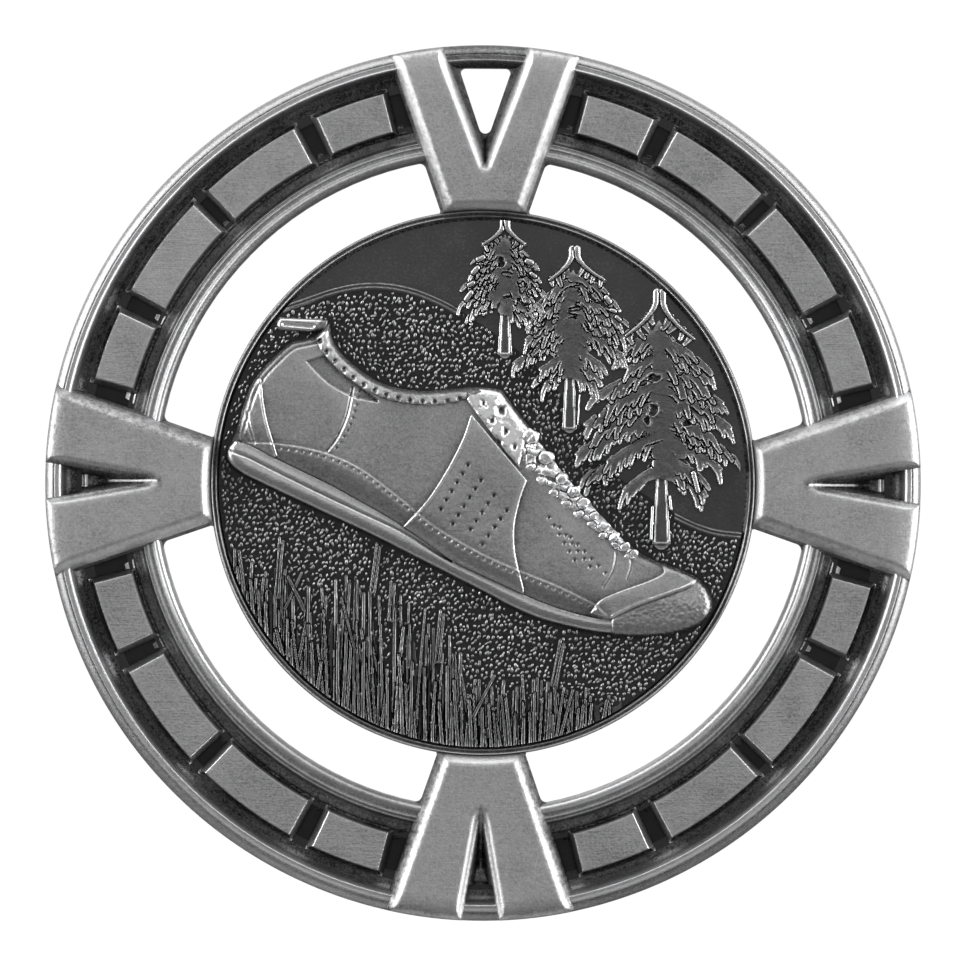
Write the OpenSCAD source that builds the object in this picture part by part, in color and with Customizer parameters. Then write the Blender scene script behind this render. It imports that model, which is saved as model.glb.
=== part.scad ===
// Sports finisher medal: an openwork cast disc with a cross-country running scene.
// Every part is drawn lying flat, back at z = 0 and face up, and is then stood upright:
// +Z points to the ribbon loop, the face looks along -Y and the flat back along +Y.

/* [Medal] */
// Diameter over the outer rim
medal_d = 63.5; // [50:0.5:76]
// Thickness of the ring plate and of the disc plate, from the back
base_t = 1.3; // [1:0.1:1.6]
// Width of the windows between the disc and the ring
window_w = 3.85; // [3.4:0.05:4.4]

/* [Ring] */
// Width of the ring plate
ring_w = 8.1; // [7.8:0.1:8.6]
// Width of the outer rim
outer_rim_w = 1.2; // [1:0.05:1.4]
// Height of the outer rim above the ring plate
outer_rim_h = 1.2; // [0.8:0.1:1.4]
// Width of the inner rim
inner_rim_w = 1.35; // [1.1:0.05:1.5]
// Height of the inner rim above the ring plate
inner_rim_h = 1; // [0.7:0.1:1.2]
// Depth of the pockets between the blocks
pocket_depth = 0.45; // [0.2:0.05:0.6]

/* [Blocks] */
// Radial width of a block at its foot
block_w = 3.1; // [2.6:0.1:3.2]
// Height of the blocks above the ring plate
block_h = 1; // [0.7:0.1:1.3]
// Angle that a long block covers
long_block_deg = 15.2; // [13:0.1:15.6]
// Angle that a short block covers
short_block_deg = 10.3; // [8:0.1:10.6]

/* [Arms] */
// Height of the arms above the ring plate
arm_h = 1.9; // [1.5:0.1:2.4]
// Angle between an arm's centre line and its side
arm_side_deg = 19.1; // [18:0.1:19.5]
// Half width of an arm where it leaves the disc
arm_root_half_w = 3.25; // [2.6:0.05:3.4]
// Width of the mouth of the top arm's open notch
open_notch_w = 5.9; // [5:0.1:6.2]
// Width of the mouth of the closed notches
closed_notch_w = 2.6; // [1.8:0.1:3.2]

/* [Ribbon loop] */
// Width of the opening at its top
loop_w = 3.6; // [3:0.1:4]
// Height of the opening
loop_h = 4.75; // [4:0.05:5]
// Width of the bar that the ribbon's ring hangs on
loop_bar_w = 1.65; // [1.4:0.05:1.9]

/* [Disc] */
// Width of the disc's raised edge
disc_rim_w = 0.6; // [0.4:0.05:0.8]
// Height of the disc's raised edge
disc_rim_h = 0.4; // [0.2:0.05:0.5]
// Thickness of the hillside and the meadow
ground_t = 0.25; // [0.15:0.05:0.4]
// Height of the ridge lines above the ground
ridge_h = 0.2; // [0.1:0.05:0.3]
// Height of the grass above the meadow
grass_h = 0.35; // [0.2:0.05:0.5]
// Height of the trees above the ground
tree_h = 0.45; // [0.3:0.05:0.6]

/* [Shoe] */
// Height of the sole above the ground
sole_h = 1.05; // [0.7:0.05:1.3]
// Height of the upper above the ground
upper_h = 0.95; // [0.6:0.05:1.2]
// Thickness of the panels that lie on the upper
overlay_t = 0.16; // [0.1:0.02:0.25]
// Height of the laces above the upper
lace_h = 0.45; // [0.3:0.05:0.6]

/* [Hidden] */
$fn = 96;

BLOCK_COUNT = 16;
function block_name(i) = str("block_", i < 10 ? "0" : "", i);
BLOCK_NAMES = [for (i = [1:BLOCK_COUNT]) block_name(i)];

// Colours: worn silver on what stands proud, dark patina in what lies deep
worn = [0.62, 0.62, 0.62];
soft_grey = [0.52, 0.52, 0.52];
mid_grey = [0.42, 0.42, 0.42];
patina = [0.24, 0.24, 0.24];
bright = [0.82, 0.82, 0.82];

// Radii of the ring and the disc
medal_r = medal_d / 2;
ring_in_r = medal_r - ring_w;
disc_r = ring_in_r - window_w;
outer_rim_r = medal_r - outer_rim_w;
inner_rim_r = ring_in_r + inner_rim_w;
arm_out_r = medal_r - 0.15;
field_r = disc_r - disc_rim_w;
scene_gap = 0.05;

// The scene is drawn on a disc of this radius, and is scaled to the real one
SCENE_R = 19.8;
scene_scale = disc_r / SCENE_R;
ground_z = base_t + ground_t;
upper_z = ground_z + upper_h;

// Blocks: a foot line, a drafted side and a flat top
block_mid_r = (outer_rim_r + inner_rim_r) / 2 - 0.05;
plinth_h = 0.15;
plinth_step = 0.2;
block_draft = 0.12;
short_block_at = 19.8;
long_block_at = 36;
BLOCK_AT = [short_block_at, long_block_at, 90 - long_block_at, 90 - short_block_at];
BLOCK_DEG = [short_block_deg, long_block_deg, long_block_deg, short_block_deg];

// Pockets between the blocks, and between the end blocks and the arms
pocket_w = 2.5;
pocket_deg = 2.6;
POCKET_AT = [13, 26.6, 45, 63.4, 77];

// The notches' tips
open_tip_r = ring_in_r - 0.8;
closed_tip_r = ring_in_r + 0.05;

// A smooth closed or open line through hand-picked points (Catmull-Rom)
function spline_point(a, b, c, d, t) =
    0.5 * (2 * b + (c - a) * t + (2 * a - 5 * b + 4 * c - d) * t * t
    + (3 * b - a - 3 * c + d) * t * t * t);
function smooth(p, steps = 3) = [
    for (i = [0:len(p) - 2])
        for (s = [0:steps - 1])
            spline_point(p[max(i - 1, 0)], p[i], p[i + 1], p[min(i + 2, len(p) - 1)], s / steps),
    p[len(p) - 1]
];
function reversed(p) = [for (i = [len(p) - 1:-1:0]) p[i]];
function shifted(p, dx, dy) = [for (q = p) [q[0] + dx, q[1] + dy]];
function arc(centre, r, from, to, steps = 8) = [
    for (i = [0:steps])
        let (a = from + (to - from) * i / steps)
        centre + r * [cos(a), sin(a)]
];

// Outline of the running shoe, as lines that the parts share
SOLE_TOP = smooth([
    [-18.2, 2.9], [-17, 2.65], [-15, 1.65], [-13, 0.7], [-11, -0.25], [-9, -1.35], [-7, -2.45],
    [-5, -3.7], [-3.5, -4.75], [-2, -5.75], [0, -6.7], [2, -7.6], [4, -8.5], [6, -9.2],
    [8, -9.7], [9.4, -9.85]
]);
SOLE_BOTTOM = smooth([
    [9.4, -10.95], [8, -10.8], [6, -10.4], [4, -9.85], [2, -9], [0, -7.95], [-4, -5.95],
    [-8, -3.95], [-12, -2.1], [-16, -0.25], [-17.5, 0.5], [-18.3, 1.1], [-18.65, 1.8],
    [-18.5, 2.5], [-18.2, 2.9]
]);
TOE = smooth([
    [9.4, -10.95], [11, -11.05], [13, -10.95], [14.5, -10.65], [15.7, -10.15], [16.45, -9.45],
    [16.65, -8.7], [16.4, -7.8], [15.9, -7.1], [15.2, -6.6], [14, -6.1], [12.6, -5.6],
    [11.4, -5]
]);
LACE_EDGE = smooth([
    [11.4, -5], [10.3, -4.1], [8.9, -2.6], [7.4, -1.05], [5.9, 0.5], [4.7, 2.2], [3.4, 4],
    [2.2, 5.5], [1.3, 6.7]
]);
COLLAR_TOP = smooth([
    [1.3, 6.7], [0.4, 6.85], [-1, 6.9], [-4, 6.65], [-6, 6.8], [-7.5, 7.25], [-9, 8.15],
    [-10.1, 9.1], [-10.8, 10], [-11.1, 10.8], [-11.15, 11.6]
]);
HEEL_BACK = smooth([
    [-12.3, 10.5], [-13.2, 10.3], [-14, 10.05], [-14.8, 9.4], [-15.6, 8.6], [-16.3, 7.8],
    [-16.9, 6.8], [-17.3, 5.7], [-17.6, 4.6], [-17.9, 3.6], [-18.2, 2.9]
]);
TOE_SEAM = smooth([[7.8, -9.4], [8.5, -8.45], [10, -7.75], [12, -7], [13.1, -6.4], [12.9, -5.8]]);
COUNTER_EDGE = smooth([[-16.1, 7.5], [-16, 6.6], [-15.9, 5.7], [-15.6, 4.2], [-15.2, 2.9], [-14.9, 1.9]]);
COLLAR_LOW = smooth([
    [-12.2, 10.4], [-11.6, 9.2], [-10.4, 8], [-9, 6.9], [-7, 6], [-5, 5.65], [-3, 5.65],
    [-1.4, 6]
]);
PANEL_LOW = smooth([[-1.2, 6], [-0.4, 4.9], [0.6, 3.6], [1.6, 2.3], [2.8, 1]]);
SADDLE_BACK = smooth([[-0.9, 5], [-1.5, 3.2], [-2.6, 1], [-4, -1.2], [-5.6, -3]]);
SADDLE_FRONT = smooth([[3, -7.6], [2.4, -5.2], [2.3, -3.2], [2.7, -1.2], [3.2, 0.2]]);

// Skyline: the left hill, down behind the trees, and the low right hill
LEFT_HILL = smooth([
    [-14.6, 12.75], [-13, 13.3], [-11, 14], [-9, 14.4], [-7, 14.4], [-5, 14], [-3, 13.2], [-1.7, 12.5]
]);
BEHIND_TREES = smooth([[-1.7, 12.5], [2.5, 9.6], [5, 7.2], [7.3, 4], [9, 1.2], [11, -0.3], [13.9, -2.1]]);
RIGHT_HILL = smooth([[13.9, -2.1], [15.5, -2.85], [17, -3.3], [18.85, -3.5]]);
SHOE_LINE = [[-19.8, 2.2], [19.8, -11]];

// Tops of the grass from left to right; the blades stand between them and the disc's edge
GRASS_TOPS = [
    [-17.6, -5.1], [-16.6, -5.8], [-15, -6.1], [-13.5, -7.6], [-12, -8.2], [-10.5, -7], [-8.5, -6.8],
    [-6.8, -7.4], [-5, -9.2], [-3.6, -10.2], [-2, -11.5], [-0.5, -13.8], [1.5, -14.6],
    [4.2, -13.8], [6.8, -14.1], [8.2, -15.4]
];
grass_pitch = 0.62;
blade_w = 0.36;
blade_lean = 0.25;

// Trees: apex, bough tips down each side, and the foot of the trunk
TREE_LEFT = [
    [1.45, 19.05],
    [[-0.2, 17.1], [-0.6, 15.9], [-1, 14.8], [-1.4, 13.3], [-1.1, 12]],
    [[3, 17.1], [3.5, 15.9], [3.9, 14.8], [4.2, 13.3], [3.2, 11.9]],
    [1.55, 9.35]
];
TREE_MIDDLE = [
    [6.5, 17.1],
    [[4.7, 14.6], [3.6, 12.6], [3.2, 10.6], [2.3, 8.7], [4.4, 7.1]],
    [[8.7, 14.6], [9.3, 13.1], [9.9, 11.8], [10.1, 9.3], [8.1, 7.1]],
    [6.25, 4]
];
TREE_RIGHT = [
    [12.75, 14.05],
    [[10.3, 10.6], [9.1, 8.6], [7.9, 6.2], [7.3, 4.2], [6.9, 2.1], [7.5, 0.2], [10.3, -0.5]],
    [[15.2, 10.4], [16.3, 8.1], [17.2, 5.9], [17.8, 4.1], [18.2, 1.8], [17, 1.1], [15.5, -0.6]],
    [12.95, -4.3]
];
TREE_PINCH = 0.62;

module upright() rotate([90, 0, 0]) children();

module scene_prism(low, height)
    translate([0, 0, low])
        linear_extrude(height)
            intersection() {
                scale([scene_scale, scene_scale]) children();
                circle(field_r - scene_gap);
            }

module annulus(outer, inner)
    difference() {
        circle(outer);
        circle(inner);
    }

// Ring ---------------------------------------------------------------------------------

// Rounded triangular opening that the ribbon's ring passes through
module loop_opening() {
    corner_r = 0.35;
    tip_r = 0.45;
    top = medal_r - loop_bar_w;
    side_x = loop_w / 2 - corner_r;
    tip_y = top - loop_h + tip_r;
    polygon(concat(
        arc([side_x, top - corner_r], corner_r, 90, -15),
        arc([0, tip_y], tip_r, -15, -165),
        arc([-side_x, top - corner_r], corner_r, 195, 90)
    ));
}

module pocket(at)
    rotate([0, 0, at - pocket_deg / 2])
        rotate_extrude(angle = pocket_deg)
            translate([block_mid_r - pocket_w / 2 - 0.1, base_t - pocket_depth])
                square([pocket_w, 2 * pocket_depth]);

module ring_plate()
    color(patina) upright()
        difference() {
            linear_extrude(base_t) annulus(medal_r, ring_in_r);
            for (quarter = [0:3])
                for (at = POCKET_AT)
                    pocket(90 * quarter + at);
            translate([0, 0, -1]) linear_extrude(base_t + 2) loop_opening();
        }

// Section of the outer rim: steep inside wall, step line, flat band, rounded outside
module outer_rim_section() {
    step = 0.1;
    round_r = 0.55;
    top = base_t + outer_rim_h;
    polygon(concat(
        [[outer_rim_r, base_t], [outer_rim_r + 0.05, top - step]],
        [[outer_rim_r + 0.12, top], [outer_rim_r + 0.25, top - step], [outer_rim_r + 0.45, top - step]],
        arc([medal_r - round_r, top - round_r], round_r, 90, 0),
        [[medal_r, base_t]]
    ));
}

// Section of the inner rim: rounded towards the window, a double step towards the channel
module inner_rim_section() {
    step = 0.12;
    round_r = 0.5;
    top = base_t + inner_rim_h;
    polygon(concat(
        [[inner_rim_r, base_t], [inner_rim_r, top - 3 * step]],
        [[inner_rim_r - 0.1, top - 2 * step], [inner_rim_r - 0.3, top - 2 * step]],
        [[inner_rim_r - 0.4, top - step], [inner_rim_r - 0.55, top - step]],
        arc([ring_in_r + round_r, top - round_r], round_r, 90, 180),
        [[ring_in_r, base_t]]
    ));
}

module outer_rim()
    color(worn) upright()
        difference() {
            rotate_extrude() outer_rim_section();
            for (quarter = [0:3])
                rotate([0, 0, 90 * quarter])
                    translate([0, 0, base_t])
                        linear_extrude(arm_h) arm_plan(quarter == 0);
        }

module inner_rim()
    color(worn) upright()
        difference() {
            rotate_extrude() inner_rim_section();
            for (quarter = [0:3])
                rotate([0, 0, 90 * quarter])
                    translate([0, 0, base_t])
                        linear_extrude(arm_h) arm_sides();
        }

// Arms ---------------------------------------------------------------------------------

// The wedge between an arm's two sides, with the arm pointing along +Y
module arm_sides() {
    far = medal_r + 2;
    far_half_w = arm_root_half_w + (far - disc_r) * tan(arm_side_deg);
    near_half_w = arm_root_half_w - disc_rim_w * tan(arm_side_deg);
    polygon([
        [-near_half_w, disc_r - disc_rim_w], [near_half_w, disc_r - disc_rim_w],
        [far_half_w, far], [-far_half_w, far]
    ]);
}

module notch(mouth_w, tip_r) {
    far = medal_r + 2;
    waist = tip_r + 0.55 * (medal_r - tip_r);
    waist_half_w = 0.35 * mouth_w;
    far_half_w = mouth_w / 2 + 2 * (mouth_w / 2 - waist_half_w) / (medal_r - waist);
    polygon([
        [0, tip_r], [waist_half_w, waist], [far_half_w, far], [-far_half_w, far],
        [-waist_half_w, waist]
    ]);
}

module arm_plan(open)
    difference() {
        intersection() {
            arm_sides();
            annulus(arm_out_r, disc_r);
        }
        notch(open ? open_notch_w : closed_notch_w, open ? open_tip_r : closed_tip_r);
    }

module arm(open) {
    translate([0, 0, base_t])
        linear_extrude(arm_h) arm_plan(open);
    // Below the ring plate's top, an arm only fills the gap between disc and ring
    linear_extrude(base_t)
        intersection() {
            arm_sides();
            annulus(ring_in_r, disc_r);
        }
}

module arm_top() color(worn) upright() arm(true);
module arm_right() color(worn) upright() rotate([0, 0, -90]) arm(false);
module arm_bottom() color(worn) upright() rotate([0, 0, 180]) arm(false);
module arm_left() color(worn) upright() rotate([0, 0, 90]) arm(false);

// Blocks -------------------------------------------------------------------------------

module block_body(deg, half_w, draft, low, high)
    rotate([0, 0, -deg / 2])
        rotate_extrude(angle = deg)
            polygon([
                [block_mid_r - half_w, low], [block_mid_r + half_w, low],
                [block_mid_r + half_w - draft, high], [block_mid_r - half_w + draft, high]
            ]);

// Blocks are numbered clockwise, from the one to the right of the top arm
module ring_block(i) {
    quarter = floor((i - 1) / 4);
    slot = (i - 1) % 4;
    deg = BLOCK_DEG[slot];
    plinth_deg = 0.8;
    color(soft_grey) upright()
        rotate([0, 0, 90 - 90 * quarter - BLOCK_AT[slot]]) {
            block_body(deg + plinth_deg, block_w / 2 + plinth_step, 0, base_t, base_t + plinth_h);
            block_body(deg, block_w / 2, block_draft, base_t, base_t + block_h);
        }
}

// Disc and its scene -------------------------------------------------------------------

module disc_plate() color(patina) upright() cylinder(r = disc_r, h = base_t);

module disc_rim()
    color(mid_grey) upright()
        translate([0, 0, base_t])
            rotate_extrude()
                polygon([
                    [field_r, 0], [disc_r, 0], [disc_r, 0.6 * disc_rim_h], [disc_r - 0.12, disc_rim_h],
                    [field_r + 0.12, disc_rim_h], [field_r, 0.6 * disc_rim_h]
                ]);

module ground_shape()
    polygon(concat(
        [[-SCENE_R, 10.5]], LEFT_HILL, BEHIND_TREES, RIGHT_HILL,
        [[SCENE_R, -3.6], [SCENE_R, -SCENE_R], [-SCENE_R, -SCENE_R]]
    ));

module below_shoe_line()
    polygon(concat(SHOE_LINE, [[SCENE_R, -SCENE_R - 1], [-SCENE_R, -SCENE_R - 1]]));

module hillside()
    color(mid_grey) upright()
        scene_prism(base_t, ground_t)
            difference() {
                ground_shape();
                below_shoe_line();
            }

module meadow()
    color(mid_grey) upright()
        scene_prism(base_t, ground_t)
            intersection() {
                ground_shape();
                below_shoe_line();
            }

module ridge(line) {
    ridge_w = 0.5;
    scene_prism(ground_z, ridge_h)
        polygon(concat(line, reversed(shifted(line, 0, -ridge_w))));
}
module ridge_left() color(soft_grey) upright() ridge(LEFT_HILL);
module ridge_right() color(soft_grey) upright() ridge(RIGHT_HILL);

function disc_edge(x) = -sqrt(pow(SCENE_R - 0.9, 2) - x * x);

module blade(foot, top)
    polygon([
        foot + [-blade_w / 2, 0], foot + [blade_w / 2, 0],
        top + [blade_w / 2, -0.3], top, top + [-blade_w / 2, -0.3]
    ]);

module grass()
    color(mid_grey) upright()
        scene_prism(ground_z, grass_h)
            for (x = [GRASS_TOPS[0][0]:grass_pitch:GRASS_TOPS[len(GRASS_TOPS) - 1][0]])
                blade([x, disc_edge(x)], [x + blade_lean, lookup(x, GRASS_TOPS)]);

// The tips down one side, with a notch towards the trunk between each pair
function boughs(tips, axis_x) = [
    for (i = [0:len(tips) - 1]) each (i == 0 ? [tips[0]] : [
        [axis_x + (tips[i - 1][0] - axis_x) * TREE_PINCH, tips[i - 1][1] - 0.1],
        tips[i]
    ])
];

module tree_shape(tree) {
    apex = tree[0];
    left = tree[1];
    right = tree[2];
    foot = tree[3];
    crown_low = right[len(right) - 1][1] + 0.9;
    polygon(concat(
        [apex], boughs(right, apex[0]),
        [[foot[0] + 0.3, crown_low], [foot[0] + 0.5, foot[1]]],
        [[foot[0] - 0.5, foot[1]], [foot[0] - 0.3, crown_low]],
        reversed(boughs(left, apex[0]))
    ));
}

// A tree stands on the ground where there is ground, and on the disc where there is sky
module tree(tree) {
    scene_prism(ground_z, tree_h) tree_shape(tree);
    scene_prism(base_t, ground_t)
        difference() {
            tree_shape(tree);
            ground_shape();
        }
}
module tree_left() color(mid_grey) upright() tree(TREE_LEFT);
module tree_middle()
    color(mid_grey) upright()
        difference() {
            tree(TREE_MIDDLE);
            tree_cut(TREE_LEFT);
            tree_cut(TREE_RIGHT);
        }
module tree_right() color(mid_grey) upright() tree(TREE_RIGHT);
module tree_cut(tree) scene_prism(0, 2 * ground_z) tree_shape(tree);

// Shoe ---------------------------------------------------------------------------------

module upper_shape()
    polygon(concat(SOLE_TOP, TOE, LACE_EDGE, COLLAR_TOP, HEEL_BACK));

module shoe_sole()
    color(worn) upright()
        scene_prism(ground_z, sole_h) polygon(concat(SOLE_TOP, SOLE_BOTTOM));

module shoe_upper()
    color(soft_grey) upright()
        scene_prism(ground_z, upper_h) upper_shape();

// A panel that lies on the upper and stops at the upper's edge
module on_upper(height)
    scene_prism(upper_z, height)
        intersection() {
            upper_shape();
            children();
        }

module shoe_toe_cap()
    color(worn) upright()
        on_upper(overlay_t) polygon(concat(TOE_SEAM, [[14, -5], [18, -6], [18, -12], [7.8, -12]]));

module shoe_heel_counter()
    color(worn) upright()
        on_upper(overlay_t) polygon(concat(COUNTER_EDGE, [[-16, 1], [-20, 2], [-20, 7.5]]));

module shoe_saddle()
    color(worn) upright()
        on_upper(overlay_t) polygon(concat(SADDLE_BACK, [[-7, -4.6], [3, -10]], SADDLE_FRONT));

module shoe_collar()
    color(bright) upright()
        on_upper(1.6 * overlay_t) polygon(concat(COLLAR_LOW, [[-1.4, 8], [-9, 11], [-11, 12]]));

module shoe_eyestay()
    color(bright) upright()
        on_upper(1.4 * overlay_t) polygon(concat([[-1.2, 8], [-1.2, 6.1]], PANEL_LOW, [[4.7, 2.2], [4, 8]]));

// Crossed laces, a pair of round lumps at each of the eyelets
module shoe_laces() {
    rows = 9;
    first = [3.3, 2.2];
    last = [10.9, -4.75];
    color(bright) upright()
        scene_prism(upper_z, lace_h)
            for (i = [0:rows - 1]) {
                at = first + (last - first) * i / (rows - 1);
                lump_r = 0.95 - 0.5 * i / (rows - 1);
                translate(at + [0, 0.12]) circle(lump_r);
            }
}

module shoe_pull_tab()
    color(soft_grey) upright()
        scene_prism(ground_z, upper_h)
            polygon([
                [-14.9, 11], [-12.4, 10.8], [-11.25, 10.9], [-11.25, 11.8], [-14.8, 11.9],
                [-15, 11.6], [-15.05, 11.3]
            ]);

ring_plate();
outer_rim();
inner_rim();
arm_top();
arm_right();
arm_bottom();
arm_left();
for (i = [1:BLOCK_COUNT])
    ring_block(i);
disc_plate();
disc_rim();
hillside();
meadow();
ridge_left();
ridge_right();
grass();
tree_left();
tree_middle();
tree_right();
shoe_sole();
shoe_upper();
shoe_toe_cap();
shoe_heel_counter();
shoe_saddle();
shoe_collar();
shoe_eyestay();
shoe_laces();
shoe_pull_tab();
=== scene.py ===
"""Sports finisher medal: antique silver relief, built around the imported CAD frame."""
import math

import bpy
import numpy as np
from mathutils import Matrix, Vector


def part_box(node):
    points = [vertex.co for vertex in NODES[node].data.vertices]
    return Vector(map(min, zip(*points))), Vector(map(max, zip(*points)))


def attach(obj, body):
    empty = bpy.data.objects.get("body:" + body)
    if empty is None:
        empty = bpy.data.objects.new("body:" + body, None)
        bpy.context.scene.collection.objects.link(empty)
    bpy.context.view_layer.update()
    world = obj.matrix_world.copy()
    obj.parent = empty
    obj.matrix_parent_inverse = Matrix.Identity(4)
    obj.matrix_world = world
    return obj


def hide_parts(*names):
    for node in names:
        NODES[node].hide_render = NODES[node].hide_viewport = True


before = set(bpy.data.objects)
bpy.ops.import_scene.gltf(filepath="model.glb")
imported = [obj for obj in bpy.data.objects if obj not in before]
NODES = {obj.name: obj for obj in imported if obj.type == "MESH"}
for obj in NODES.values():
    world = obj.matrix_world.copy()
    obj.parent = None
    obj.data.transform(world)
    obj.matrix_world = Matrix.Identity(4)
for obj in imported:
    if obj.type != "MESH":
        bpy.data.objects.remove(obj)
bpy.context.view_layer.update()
MM = 0.001

# Levels above the flat back and radii, in mm, as the CAD model has them ------------------


def corners_of(node):
    """Lowest and highest corners of a CAD node, in mm."""
    return [np.array(corner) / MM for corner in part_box(node)]


def top_of(node):
    return -corners_of(node)[0][1]


MEDAL_R = corners_of("ring_plate")[1][0]
DISC_R = corners_of("disc_plate")[1][0]
FIELD_R = DISC_R - 0.7
RING_IN_R = MEDAL_R - 8.1
BASE = top_of("ring_plate")
GROUND = top_of("hillside")
ARM_TOP = top_of("arm_top")
RIM_TOP = top_of("outer_rim")
INNER_RIM_TOP = top_of("inner_rim")
BLOCK_TOP = top_of("block_01")
BLOCK_MID_R = 27.725
BLOCK_HALF_W = 1.5
ARM_ROOT_HALF_W = 3.25
ARM_SIDE_ANGLE = math.radians(19.1)
ARM_SIDE = math.tan(ARM_SIDE_ANGLE)

# Curves and fields ---


def smooth(points, steps=4):
    """A Catmull-Rom line through given points."""
    p = np.array(points, float)
    q = np.vstack([p[0], p, p[-1]])
    t = (np.arange(steps) / steps)[:, None]
    out = []
    for a, b, c, d in zip(q, q[1:], q[2:], q[3:]):
        out.append(0.5 * (2 * b + (c - a) * t + (2 * a - 5 * b + 4 * c - d) * t**2
                          + (3 * b - a - 3 * c + d) * t**3))
    return np.vstack(out + [p[-1:]])


def bend(a, b, bow, steps=5):
    """A curved line from a to b that bows to its left by the given part of its length."""
    a, b = np.array(a, float), np.array(b, float)
    along = b - a
    middle = (a + b) / 2 + bow * np.array([-along[1], along[0]])
    t = np.linspace(0, 1, steps)[:, None]
    return (1 - t) ** 2 * a + 2 * t * (1 - t) * middle + t**2 * b


def line_distance(X, Z, line):
    """Distance to an open line, and the fraction of the line's points passed at the nearest one."""
    best = np.full(X.shape, 1e9)
    along = np.zeros(X.shape)
    for i, (a, b) in enumerate(zip(line, line[1:])):
        dx, dz = b[0] - a[0], b[1] - a[1]
        t = np.clip(((X - a[0]) * dx + (Z - a[1]) * dz) / (dx * dx + dz * dz + 1e-12), 0, 1)
        d = np.hypot(X - a[0] - t * dx, Z - a[1] - t * dz)
        nearer = d < best
        best = np.where(nearer, d, best)
        along = np.where(nearer, (i + t) / (len(line) - 1), along)
    return best, along


def inside_distance(X, Z, outline):
    """Distance to a closed outline, positive inside it."""
    closed = np.vstack([outline, outline[:1]])
    crossings = np.zeros(X.shape, bool)
    for a, b in zip(closed, closed[1:]):
        if a[1] != b[1]:
            spans = (a[1] > Z) != (b[1] > Z)
            crossings ^= spans & (X < (b[0] - a[0]) * (Z - a[1]) / (b[1] - a[1]) + a[0])
    return np.where(crossings, 1, -1) * line_distance(X, Z, closed)[0]


def section(points, steps=5, level=0.0):
    """A height function through the points (distance, height above the level) of a section."""
    line = smooth(np.array(points) + (0, level), steps)
    return lambda d: np.interp(d, line[:, 0], line[:, 1])


def ease(x, low, high):
    t = np.clip((x - low) / (high - low), 0, 1)
    return t * t * (3 - 2 * t)


def bell(x, width):
    return np.exp(-((x / width) ** 2))


def rounded(s, radius):
    """A quarter round that climbs from 0 to 1 over the radius."""
    return np.sqrt(np.clip(1 - (1 - np.clip(s / radius, 0, 1)) ** 2, 0, 1))


def noise(X, Z, size, seed):
    """Smooth random field from -1 to 1, with features of the given size in mm."""
    lattice = np.random.default_rng(seed).uniform(-1, 1, (64, 64))
    u, v = X / size + 1000, Z / size + 1000
    i, j = np.floor(u).astype(int), np.floor(v).astype(int)
    fu, fv = ease(u - i, 0, 1), ease(v - j, 0, 1)

    def at(a, b):
        return lattice[(i + a) % 64, (j + b) % 64]
    return ((at(0, 0) * (1 - fu) + at(1, 0) * fu) * (1 - fv)
            + (at(0, 1) * (1 - fu) + at(1, 1) * fu) * fv)


def blurred(H, radius):
    """Box blur, run twice."""
    n = 2 * radius + 1
    for axis in (0, 1, 0, 1):
        pad = [(radius + 1, radius) if k == axis else (0, 0) for k in (0, 1)]
        c = np.cumsum(np.pad(H, pad, mode="edge"), axis=axis)
        ahead = np.take(c, range(n, c.shape[axis]), axis)
        behind = np.take(c, range(0, c.shape[axis] - n), axis)
        H = (ahead - behind) / n
    return H


# Mesh building ---


def make_piece(name, points, polygons, wear, nodes, material, sharp=50):
    """A mesh object from mm points (x, z, height) and arrays of polygons, riding on the body."""
    mesh = bpy.data.meshes.new(name)
    polygons = [p for p in polygons if len(p)]
    loops = np.concatenate([p.ravel() for p in polygons])
    totals = np.concatenate([np.full(len(p), p.shape[1]) for p in polygons])
    mesh.vertices.add(len(points))
    mesh.vertices.foreach_set("co", (points[:, [0, 2, 1]] * (MM, -MM, MM)).astype(np.float32).ravel())
    mesh.loops.add(len(loops))
    mesh.loops.foreach_set("vertex_index", loops.astype(np.int32))
    mesh.polygons.add(len(totals))
    mesh.polygons.foreach_set("loop_start", (np.cumsum(totals) - totals).astype(np.int32))
    mesh.polygons.foreach_set("loop_total", totals.astype(np.int32))
    mesh.update(calc_edges=True)
    mesh.validate()
    mesh.shade_smooth()
    mesh.set_sharp_from_angle(angle=math.radians(sharp))
    layer = mesh.attributes.new("wear", "FLOAT", "POINT")
    layer.data.foreach_set("value", np.clip(wear, 0, 1).astype(np.float32))
    mesh.materials.append(material)
    piece = bpy.data.objects.new(name, mesh)
    bpy.context.scene.collection.objects.link(piece)
    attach(piece, "root")
    if nodes:
        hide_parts(*nodes)
    return piece


# Marching squares: corners 0 to 3 go round the cell, and edge k lies between corners k and k + 1
CELL_SHAPES = {
    1: ["0ad"], 2: ["1ba"], 3: ["01bd"], 4: ["2cb"], 5: ["0ad", "2cb"], 6: ["12ca"], 7: ["012cd"],
    8: ["3dc"], 9: ["0ac3"], 10: ["1ba", "3dc"], 11: ["01bc3"], 12: ["3db2"], 13: ["0ab23"],
    14: ["123da"], 15: ["0123"],
}


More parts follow.
